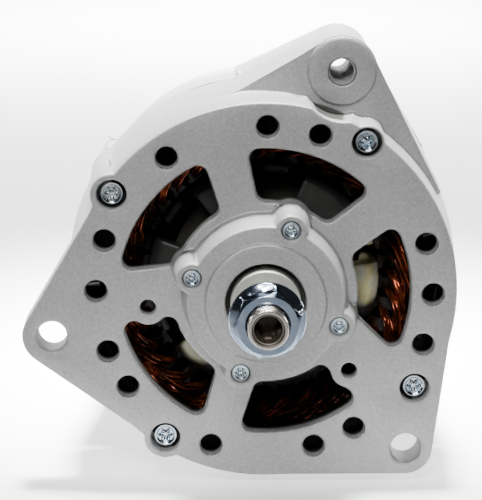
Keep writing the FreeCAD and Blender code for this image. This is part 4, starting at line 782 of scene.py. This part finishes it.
def winding_head(core_face, reach, wire=0.6, steps=26, seed=4):
    """Wires of one head: `reach` is how far the arch stands off the core, negative towards the front."""
    chance = np.random.default_rng(seed)
    numbers = np.meshgrid(np.arange(coils), np.arange(layers), np.arange(columns))
    coil, layer, column = [number.ravel() for number in numbers]
    s = np.linspace(0, 1, steps)[None, :]
    ease = s * s * (3 - 2 * s)
    shift = chance.uniform(-0.55, 0.55, (3, len(coil), 1))
    start = chance.uniform(0, TURN, (2, len(coil), 1))
    fixed = np.sin(np.pi * s)
    wander = fixed * (0.55 * np.sin(TURN * s + start[0]) + 0.35 * np.sin(2.6 * TURN * s + start[1]))
    degrees = coil[:, None] * coil_step + 4 + coil_span * ease + 1.6 * shift[0] * fixed
    outer = 61.4 - 2.1 * column[:, None] + 0.9 * shift[1]
    inner = 53.6 - 1.9 * column[:, None] + 0.9 * shift[1]
    radius = outer + (inner - outer) * ease ** 3 + wander
    height = abs(reach) - 1.2 - 1.75 * layer[:, None] + 0.8 * shift[2]
    depth = core_face + np.sign(reach) * (height * fixed ** 0.42 - 0.6 * np.abs(wander))
    x, z = on_ring(radius, degrees)
    paths = np.stack([x, np.broadcast_to(depth, x.shape), z], -1)
    outward = np.stack([x, 0 * x, z], -1)
    return tubes(paths, outward / np.linalg.norm(outward, axis=-1, keepdims=True), wire)


front_head = make_piece("front_winding_head", winding_head(91.0, -21.2), "housing",
                        ["stator_winding"], sharp=60)
rear_head = make_piece("rear_winding_head", winding_head(129.0, 21.2, seed=5), "housing",
                       sharp=60)

# %% [markdown]
# The enamel on the wire is a clear dark red over copper. Its colour goes in slow noise patches from a
# copper red to a near-black red, which is painted shade for the dark gaps between wires. The varnish that
# the whole stator is dipped in adds a second, glossy skin.

# %% Enamelled wire
enamel = Finish("enamelled_copper", Metallic=0.9, Coat_Roughness=0.12)
painted_shade_noise = enamel.noise(9, detail=3)
# Painted shade: noise patches of near-black red stand in for the shade in the gaps between wires.
painted_shade_red, copper_red = (0.035, 0.011, 0.008), (0.44, 0.10, 0.034)
enamel.set("Base Color", enamel.blend(painted_shade_noise.step(0.35, 0.75), painted_shade_red, copper_red))
enamel.set("Roughness", 0.16 + 0.16 * enamel.noise(3, detail=3))
enamel.set("Coat Weight", 0.1 + 0.3 * enamel.noise(6, detail=2))
enamel.set("Normal", enamel.relief(enamel.noise(1.6, detail=3), 0.06))
wear(front_head, enamel)
wear(rear_head, enamel)

# %% [markdown]
# The stator core is a stack of thin stamped sheets. Their edges show as fine lines round the outside, so
# the relief is a wave along the axis, and a few sheets are rusted a little darker than their neighbours.

# %% Laminated core
laminated = Finish("laminated_core", Metallic=0.9)
sheets = laminated.axes()[1].wave(0.5)
rust = laminated.noise(5, detail=4, stretch=(1.0, 3.0, 1.0))
laminated.set("Base Color", laminated.blend(rust.step(0.5, 0.8), (0.10, 0.095, 0.09), (0.07, 0.04, 0.025)))
laminated.set("Roughness", 0.45 + 0.25 * rust)
laminated.set("Normal", laminated.relief(sheets, 0.04))
wear(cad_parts["stator_core"], laminated)

# %% [markdown]
# The two claw poles are forged steel, with six fingers each that reach between those of the other. They
# come out of the forge with a dark scale, and where the impregnating varnish dripped on them it dried
# in cream and yellow patches. Those lie at a few places, so each is the inside of a soft circle broken
# up by noise. Rounded edges matter here: the fingers are forged with generous ones.

# %% Claw poles
pole_steel = Finish("forged_pole_steel")
scale = pole_steel.noise(6, detail=5, roughness=0.6)
skin = pole_steel.blend(scale, (0.022, 0.022, 0.022), (0.06, 0.058, 0.055))
drip, fringe = 0.0, 4.0
for x, z, wide in ((40.0, 3.0, 16.0), (-26.0, -28.0, 10.0), (-8.0, 41.0, 4.0)):
    drip = drip + (1 - pole_steel.round_about(x, z).step(wide - fringe, wide))
residue = drip * pole_steel.noise(8, detail=4, roughness=0.6).step(0.18, 0.36)
shade = pole_steel.noise(5, detail=4, roughness=0.6).step(0.42, 0.58)
varnish = pole_steel.blend(shade, (0.56, 0.52, 0.26), (0.60, 0.59, 0.46))
pole_steel.set("Base Color", pole_steel.blend(residue, skin, varnish))
pole_steel.set("Metallic", 0.6 - 0.55 * residue)
pole_steel.set("Roughness", 0.36 + 0.25 * scale)
pole_steel.set("Normal", pole_steel.relief(scale + residue * 0.5, 0.10))
front_claws = softened("front_claws", "front_claw_pole", "rotor", width=0.9)
rear_claws = softened("rear_claws", "rear_claw_pole", "rotor", width=0.9)
wear(front_claws, pole_steel)
wear(rear_claws, pole_steel)

# %% [markdown]
# Between the fingers lies the field coil: fine enamelled wire wound in neat layers on a moulded bobbin. A
# turned surface whose radius rises and falls once per wire gives the layers.

# %% Field coil, bobbin and pole core
def wound_coil(outer, low, high, inner, wire=1.1):
    """Ring whose outside is a row of half circles, one for each turn of wire."""
    depth = np.linspace(low, high, int((high - low) / wire * 8))
    bumps = np.abs(np.sin(np.pi * (depth - low) / wire))
    radii = np.concatenate([[inner], outer - 0.35 * (1 - bumps), [inner, inner]])
    return ring_stack(radii, np.concatenate([[low], depth, [high, low]]), count=96)


field_coil = make_piece("field_coil", wound_coil(37.5, 93.5, 124.5, 28.5), "rotor",
                        ["field_winding"], sharp=50)
field_wire = Finish("field_coil_wire", Metallic=0.75)
thread_tone = field_wire.noise(3, detail=3)
field_wire.set("Base Color", field_wire.blend(thread_tone, (0.14, 0.035, 0.015), (0.30, 0.09, 0.035)))
field_wire.set("Roughness", 0.3 + 0.2 * thread_tone)
wear(field_coil, field_wire)

bobbin_nylon = Finish("bobbin_nylon", Subsurface_Weight=0.05)
bobbin_tone = bobbin_nylon.noise(8, detail=3)
bobbin_colour = bobbin_nylon.blend(bobbin_tone, (0.022, 0.021, 0.018), (0.05, 0.047, 0.038))
bobbin_nylon.set("Base Color", bobbin_colour)
bobbin_nylon.set("Roughness", 0.42 + 0.1 * bobbin_tone)
bobbin_nylon.set("Normal", bobbin_nylon.relief(bobbin_nylon.noise(1.2, detail=3), 0.03))
wear(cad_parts["field_bobbin"], bobbin_nylon)
core_steel = turned_steel("pole_core_steel", (0.22, 0.21, 0.20), rough=0.4)
wear(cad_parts["pole_core"], core_steel)

# %% [markdown]
# The slip rings are copper sleeves on a moulded carrier. The brushes ride on their middles and leave a
# dark polished track there, so the colour follows the distance from the middle of each ring.

# %% Slip rings and their sleeve
def slip_ring_finish(name, middle):
    """Copper with a darker, smoother track half way along the ring."""
    ring = Finish(name, Metallic=1.0)
    off = ring.node("Math", {0: ring.axes()[1] - middle}, operation="ABSOLUTE")
    track = 1 - off.step(2.2, 2.9)
    streak = ring.noise(2, detail=4, stretch=(1.0, 6.0, 1.0))
    copper, worn = (0.80, 0.42, 0.26), (0.24, 0.11, 0.06)
    ring.set("Base Color", ring.blend(track * (0.5 + 0.4 * streak), copper, worn))
    ring.set("Roughness", 0.34 - 0.14 * track + 0.1 * streak)
    ring.set("Normal", ring.relief(streak, 0.012))
    return ring


for name, node, low in (("front_slip_ring_sleeve", "front_slip_ring", 146),
                        ("rear_slip_ring_sleeve", "rear_slip_ring", 157)):
    ring = make_piece(name, plain_ring(low + 0.05, low + 7.95, bore=11.6, outer=13.98), "rotor",
                      [node])
    wear(ring, slip_ring_finish(name + "_copper", low + 4))

# %% [markdown]
# Moulded parts come out of their tool with a fine even grain, a slight sheen and a hint of flow lines.
# One finish covers the sleeve, the brush holder, the rectifier board and the insulating bushes, with a
# tone for each, because they only differ in colour.

# %% Mouldings
def moulded(name, dark, light, rough=0.42):
    """Plastic: two close tones in slow clouds, and a fine grain in the relief."""
    plastic = Finish(name)
    cloud = plastic.noise(12, detail=3)
    grain = plastic.noise(0.6, detail=2)
    plastic.set("Base Color", plastic.blend(cloud, dark, light))
    plastic.set("Roughness", rough + 0.12 * grain)
    plastic.set("Normal", plastic.relief(grain, 0.03))
    return plastic


black_plastic = moulded("black_moulding", (0.018, 0.018, 0.02), (0.035, 0.035, 0.037))
board_plastic = moulded("board_moulding", (0.05, 0.042, 0.03), (0.09, 0.075, 0.05), 0.5)
bush_plastic = moulded("bush_moulding", (0.05, 0.05, 0.055), (0.08, 0.08, 0.085))
sleeve_plastic = moulded("sleeve_moulding", (0.10, 0.055, 0.03), (0.15, 0.085, 0.05))
wear(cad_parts["slip_ring_sleeve"], sleeve_plastic)
holder = softened("brush_holder_moulding", "brush_holder", "housing")
wear(holder, black_plastic)
board = softened("rectifier_moulding", "rectifier_board", "housing", width=0.35)
wear(board, board_plastic)

# %% [markdown]
# The brushes are blocks of carbon and copper powder pressed hard: a dull dark grey with tiny bright
# grains. Their springs are wound from thin steel wire.

# %% Brushes and springs
carbon = Finish("brush_carbon", Metallic=0.25)
sparkle = carbon.cells(0.5).step(0.1, 0.2)
carbon.set("Base Color", carbon.blend(sparkle, (0.32, 0.20, 0.13), (0.055, 0.053, 0.05)))
carbon.set("Roughness", 0.45 + 0.2 * carbon.noise(2))
carbon.set("Normal", carbon.relief(carbon.noise(0.7, detail=3), 0.03))
for node in ("front_brush", "rear_brush"):
    wear(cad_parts[node], carbon)
for node in ("front_brush_spring", "rear_brush_spring"):
    wear(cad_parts[node], zinc)
print("brushes and springs dressed")

# %% [markdown]
# The rectifier carries six power diodes pressed into two aluminium heat sinks and three small exciter
# diodes on the board. The sinks are stamped plates with a rolled, slightly brushed surface.

# %% Heat sinks, diodes and rectifier screws
brushed = Finish("rolled_aluminium", Metallic=1.0)
brush_line = brushed.noise(0.7, detail=3, stretch=(0.06, 1.0, 1.0))
brushed_tone = brushed.noise(14, detail=3)
brushed.set("Base Color", brushed.blend(brushed_tone, (0.62, 0.63, 0.64), (0.74, 0.75, 0.75)))
brushed.set("Roughness", 0.26 + 0.2 * brush_line)
brushed.set("Normal", brushed.relief(brush_line, 0.02))
outer_sink = softened("outer_heat_sink", "positive_heat_sink", "housing", width=0.45)
inner_sink = softened("inner_heat_sink", "negative_heat_sink", "housing", width=0.45)
wear(outer_sink, brushed)
wear(inner_sink, brushed)


def power_diode(places, count=96):
    """Pressed cup with a knurled rim, a sealing bead round its lead, and the lead itself."""
    knurl = 6.4 - 0.12 * (0.5 + 0.5 * np.cos(24 * ring_angles(count)))
    rows = [(0, 156.0), (1.2, 156.0), (1.2, 158.6), (2.4, 159.1), (4.6, 159.15), (5.2, 159.0),
            (5.9, 159.0), (knurl, 159.5), (knurl, 167.4), (6.0, 168.0), (0, 168.0)]
    return stack_rows(rows, places, count)


nickel = zinc_finish("diode_nickel", (0.70, 0.70, 0.69))
outer_diodes = make_piece("outer_diodes", power_diode([on_ring(57.5, a) for a in (180, 240, 300)]),
                          "housing")
inner_diodes = make_piece("inner_diodes", power_diode([on_ring(35.0, a) for a in (210, 240, 300)]),
                          "housing")
wear(outer_diodes, nickel)
wear(inner_diodes, nickel)

# %% [markdown]
# The exciter diodes are small and plain: a bevelled body on the board. The screws that hold the two sinks
# down lie deep inside, so their CAD solids are shown as they are and only get their plating.

# %% Exciter diodes
small_places = [on_ring(57.5, a) for a in (345, 0, 15)]
exciters = make_piece("exciter_diode_beads", turned(
    [(0, 156.02), (2.1, 156.02), (2.58, 156.8), (2.58, 159.2), (2.0, 159.98), (0, 159.98)], 0.3,
    small_places, 40), "housing", ["exciter_diodes"])
wear(exciters, bush_plastic)
wear(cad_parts["rectifier_screws"], zinc)

# %% [markdown]
# Terminals take the battery's cable, the ground strap and two signal wires. Each is a threaded stud with
# a hexagon nut: the nut's corners are cut by a cone at both ends, so its radius is the smallest of three
# numbers, the hexagon and the two cones.

# %% Nuts, washers and studs
def hex_nut(front, height, half_flat, bore, places, cone=1.0, count=144):
    """Hexagon cut by a cone at each end, with a bevelled bore. Rings run out over the front face, down
    the flats and back over the rear face."""
    hexagon = hexagon_radius(ring_angles(count), half_flat)
    depth = np.concatenate([np.linspace(0, cone, 8), np.linspace(cone, height - cone, 4)[1:-1],
                            np.linspace(height - cone, height, 8)])
    slope = half_flat - 0.25 + 1.75 * np.minimum(depth, height - depth)
    sides = np.minimum(hexagon[None], slope[:, None])
    middle, back, mouth = front + height / 2, front + height, bore + 0.45
    rows = [(bore, middle), (bore, front + 0.5), (mouth, front), *zip(sides, front + depth),
            (mouth, back), (bore, back - 0.5), (bore, middle)]
    return stack_rows(rows, places, count)


def washer(front, thick, outer, bore, places):
    """Flat ring, rolled over at its edges by the stamping."""
    return plain_ring(front, front + thick, bore, outer, places=places, count=64)


stud_circle_r = 62
battery_at, ground_at, *signal_at = [on_ring(stud_circle_r, degrees) for degrees in (210, 330, 125, 55)]
power_nuts = make_piece("power_nuts", join_shapes([
    hex_nut(182.5, 6.5, 6.5, 4.02, [battery_at]), hex_nut(179.5, 6.5, 6.5, 4.02, [ground_at])]),
    "housing", ["terminal_nuts"], sharp=25)
power_washers = make_piece("power_washers", join_shapes([
    washer(181.0, 1.5, 8.0, 4.2, [battery_at]), washer(178.0, 1.5, 8.0, 4.2, [ground_at])]),
    "housing", ["terminal_washers"])
small_nuts = make_piece("small_nuts", hex_nut(181.0, 4.0, 4.0, 2.52, signal_at, cone=0.7), "housing",
                        ["signal_nuts"], sharp=25)
battery_rod = make_piece("battery_rod", threaded_rod(4.0, 1.25, 203.0, 161.0, [battery_at]), "housing",
                         ["battery_stud"], sharp=60)
ground_rod = make_piece("ground_rod", threaded_rod(4.0, 1.25, 203.0, 172.0, [ground_at]), "housing",
                        ["ground_stud"], sharp=60)
signal_rods = make_piece("signal_rods", threaded_rod(2.5, 0.8, 194.0, 153.5, signal_at, count=48),
                         "housing", ["signal_studs"], sharp=60)
brass = turned_steel("stud_brass", (0.78, 0.60, 0.30), rough=0.26)
for piece in (power_nuts, power_washers, small_nuts, ground_rod, signal_rods):
    wear(piece, zinc)
wear(battery_rod, brass)

# %% [markdown]
# The battery's stud is live, so a moulded bush keeps it off the casting: one flange inside the wall, a
# neck through it and a flange outside. The signal studs have smaller ones.

# %% Insulating bushes
def flanged_bush(outer, neck, bore, inside, wall, outside, places):
    """Two flanges with a neck between, from (start, end) depths of each, as one turned profile."""
    middle = (wall[0] + wall[1]) / 2
    corners = [(bore, middle), (bore, inside), (outer, inside), (outer, wall[0]), (neck, wall[0]),
               (neck, wall[1]), (outer, wall[1]), (outer, outside), (bore, outside), (bore, middle)]
    return turned(corners, 0.35, places, 64)


back_wall = (172, 178)
battery_bush = make_piece("battery_bush", flanged_bush(10.0, 7.0, 4.1, 165, back_wall, 181, [battery_at]),
                          "housing", ["battery_insulator"])
signal_bushes = make_piece("signal_bushes", flanged_bush(6.5, 4.5, 2.6, 170, back_wall, 181, signal_at),
                           "housing", ["signal_insulators"])
wear(battery_bush, bush_plastic)
wear(signal_bushes, bush_plastic)

# %% [markdown]
# The regulator on the back feeds the brushes and sheds its heat through the short fins of a dark die-cast
# lid, which is a copy of the CAD solid with rounded edges. Two screws hold it to the rear casting.

# %% Regulator
regulator_lid = softened("regulator_lid", "regulator", "housing")
lid_metal = cast_finish("regulator_casting", 0.4)
wear(regulator_lid, lid_metal)
wear(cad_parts["regulator_screws"], zinc)

# %% [markdown]
# Both bearings are deep-groove ball bearings with rubber seals. The seals hide the balls, but rings, seals
# and cages are all made, because a reader who turns the machine or cuts it open will look for them. A
# ring's profile carries the groove in which the balls run: an arc just larger than a ball.

# %% Bearings
def bearing_ring(face, back, bore, edge, groove_r, outer_ring):
    """Ring with a rounded bore and rim, and a ball groove on the side that faces the balls: half an
    ellipse, as wide as the ball and 1.2 millimetres deep."""
    groove_deep, corner = 1.2, 0.4
    middle = (face + back) / 2
    way, wall, smooth = (-1, bore, edge) if outer_ring else (1, edge, bore)
    groove = [(wall - way * groove_deep * np.sqrt(1 - a ** 2), middle + groove_r * a)
              for a in np.linspace(-1, 1, 15)]
    path = [(smooth, middle), (smooth, face + corner), (smooth + way * corner, face), (wall, face + 0.02),
            *groove, (wall, back - 0.02), (smooth + way * corner, back), (smooth, back - corner),
            (smooth, middle)]
    radii, depths = np.array(path).T
    return ring_stack(radii, depths, count=96)


race_steel = turned_steel("bearing_steel", (0.70, 0.70, 0.70), rough=0.2)
for end, face, back, inner, outer, groove_r in (
        ("front", 45, 59, (8.52, 12.3), (19.7, 23.5), 3.9),
        ("rear", 171, 182, (7.52, 10.5), (14.5, 17.5), 2.9)):
    small = make_piece(end + "_inner_race", bearing_ring(face, back, *inner, groove_r, False),
                       "rotor", [end + "_bearing_inner_ring"])
    large = make_piece(end + "_outer_race", bearing_ring(face, back, *outer, groove_r, True),
                       "housing", [end + "_bearing_outer_ring"])
    wear(small, race_steel)
    wear(large, race_steel)
seal_rubber = moulded("seal_rubber", (0.015, 0.014, 0.013), (0.03, 0.028, 0.026), 0.5)
cage_brass = turned_steel("cage_brass", (0.74, 0.60, 0.33), rough=0.34)
for end in ("front", "rear"):
    wear(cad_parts[end + "_bearing_seals"], seal_rubber)
    wear(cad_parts[end + "_bearing_cage"], cage_brass)
retainer = softened("bearing_retainer_plate", "bearing_retainer", "housing", width=0.3)
wear(retainer, race_steel)

# %% [markdown]
# The lug's bore is threaded for the bolt of the link that tensions the belt. The CAD bore is plain, so a
# thin threaded sleeve lines it: the thread's roots come nearly to the bore's wall, its crests stand half
# a millimetre in, and the sleeve's outside is buried in the wall.

# %% Thread in the lug
def thread_liner(at, crest, root, pitch, start, end, count=72):
    """Tube whose inside carries a thread and whose outside is buried in the lug's wall."""
    rows = int((end - start) / pitch * 10)
    depth = np.linspace(start, end, rows)
    angle = ring_angles(count)
    inner = crest + (root - crest) * thread_wave(angle[None], depth[:, None], pitch)
    outer = np.full((1, count), root + 0.3)
    radii = np.concatenate([inner, outer, outer, inner[:1]])
    depths = np.concatenate([depth, [end, start, start]])
    return ring_stack(radii, depths, [at])


lug_thread = make_piece("lug_thread", thread_liner((lug_x, lug_z), 4.9, 5.35, 1.5, 75.6, 120.5), "housing",
                        sharp=60)
wear(lug_thread, front_cast)

# %% [markdown]
# The machine stands on a plain pale floor that curves up behind it, so there is no line between floor
# and wall. It is a table of white acrylic that is lit from below, dimly at the machine and fully from
# seventy centimetres behind its front, so the background is white. Metal looks like what it reflects:
# the nut's face mirrors the table in front of the machine, and that part gets no light from below, so
# the nut stays dark.

# %% Floor
def swept_floor(height, half_width, front, back, radius, top):
    """Flat floor, a quarter circle and a wall, as one sheet wide enough to fill the view."""
    bend = np.linspace(0, np.pi / 2, 24)
    y = np.concatenate([[front], back + radius * np.sin(bend), [back + radius]])
    z = np.concatenate([[height], height + radius * (1 - np.cos(bend)), [top]])
    x = np.array([-half_width, half_width])
    points = np.stack([np.broadcast_to(x, (len(y), 2)), np.repeat(y[:, None], 2, 1),
                       np.repeat(z[:, None], 2, 1)], -1)
    return points.reshape(-1, 3), grid_faces(len(y), 2, closed=False)


floor_points, floor_faces = swept_floor(height=-82.6, half_width=3200.0, front=-3000.0, back=2300.0,
                                        radius=600.0, top=3200.0)
floor_mesh = bpy.data.meshes.new("floor")
floor_mesh.from_pydata(floor_points * MM, [], floor_faces.tolist())
floor_mesh.shade_smooth()
floor = bpy.data.objects.new("floor", floor_mesh)
bpy.context.scene.collection.objects.link(floor)
acrylic = Finish("pale_acrylic", Roughness=0.9, Emission_Strength=2.6)
along = acrylic.axes()[1]
near = acrylic.blend(along.step(20, 80), (0.0, 0.0, 0.0), (0.5, 0.5, 0.5))
acrylic.set("Emission Color", acrylic.blend(along.step(300, 700), near, (1.0, 1.0, 1.0)))
cloudy = acrylic.noise(160, detail=2)
acrylic.set("Base Color", acrylic.blend(cloudy, (0.90, 0.90, 0.90), (0.93, 0.93, 0.93)))
wear(floor, acrylic)

# %% [markdown]
# The light comes from soft lamps. The key is a round one in a snoot, above and in front, whose narrow
# cone takes in the machine and leaves the floor in front of it dark. A dim wide panel in front gives the
# metal a bright edge to reflect, a small one above lights the rounded top, one at each side keeps the
# walls from going black, and the last one lights the backdrop.

# %% Lights
def aimed(light, name, place, aim):
    """A lamp put at a place in millimetres and turned to face another place."""
    lamp = bpy.data.objects.new(name, light)
    lamp.location = [c * MM for c in place]
    way = np.array(aim, float) - np.array(place, float)
    pitch = np.arctan2(np.hypot(way[0], way[1]), -way[2])
    lamp.rotation_euler = (pitch, 0.0, np.arctan2(-way[0], way[1]))
    bpy.context.scene.collection.objects.link(lamp)
    print("%-24s %5.1f W" % (name, light.energy))


def panel(name, place, aim, size, power, spread):
    """Soft square panel with a grid in front of it that keeps its light within `spread` degrees."""
    light = bpy.data.lights.new(name, "AREA")
    light.shape, light.size, light.energy = "SQUARE", size * MM, power
    light.spread = np.radians(spread)
    aimed(light, name, place, aim)


def beam(name, place, aim, angle, power, radius):
    """Round soft lamp in a snoot: its light stays within a cone of `angle` degrees."""
    light = bpy.data.lights.new(name, "SPOT")
    light.spot_size, light.spot_blend = np.radians(angle), 0.35
    light.energy, light.shadow_soft_size = power, radius * MM
    aimed(light, name, place, aim)


beam("key_light", (-220, -900, 820), (0, 70, 42), angle=18, power=41, radius=130)
panel("front_panel", (-60, -640, 860), (0, 40, 10), size=700, power=0.9, spread=38)
panel("top_light", (0, 240, 950), (0, 240, 0), size=270, power=6.3, spread=24)
panel("left_light", (-1000, 480, 320), (0, 130, 20), size=400, power=0.7, spread=44)
panel("right_light", (1000, 480, 320), (0, 130, 20), size=400, power=0.9, spread=44)
panel("backdrop_light", (0, 1500, 1000), (0, 1500, 0), size=600, power=22, spread=60)
world = bpy.data.worlds.new("studio")
world.use_nodes = True
sky = world.node_tree.nodes["Background"].inputs
sky["Color"].default_value, sky["Strength"].default_value = (1.0, 1.0, 1.0, 1.0), 0.035
bpy.context.scene.world = world

# %% [markdown]
# The camera stands a little above the machine and about eighty centimetres in front of it, with a long
# lens. Its place was worked out from the ellipses that the round parts make in the picture.

# %% Camera
looks_down, looks_left = 13.81, 0.81
camera_data = bpy.data.cameras.new("camera")
camera_data.sensor_width, camera_data.lens, camera_data.clip_end = 36.0, 152.9, 20.0
camera = bpy.data.objects.new("camera", camera_data)
camera.location = (-0.021592, -0.782432, 0.224204)
camera.rotation_euler = (np.radians(90 - looks_down), 0.0, np.radians(-looks_left))
bpy.context.scene.collection.objects.link(camera)
bpy.context.scene.camera = camera
print("camera with a lens of", camera_data.lens, "mm looks down by", looks_down, "degrees")
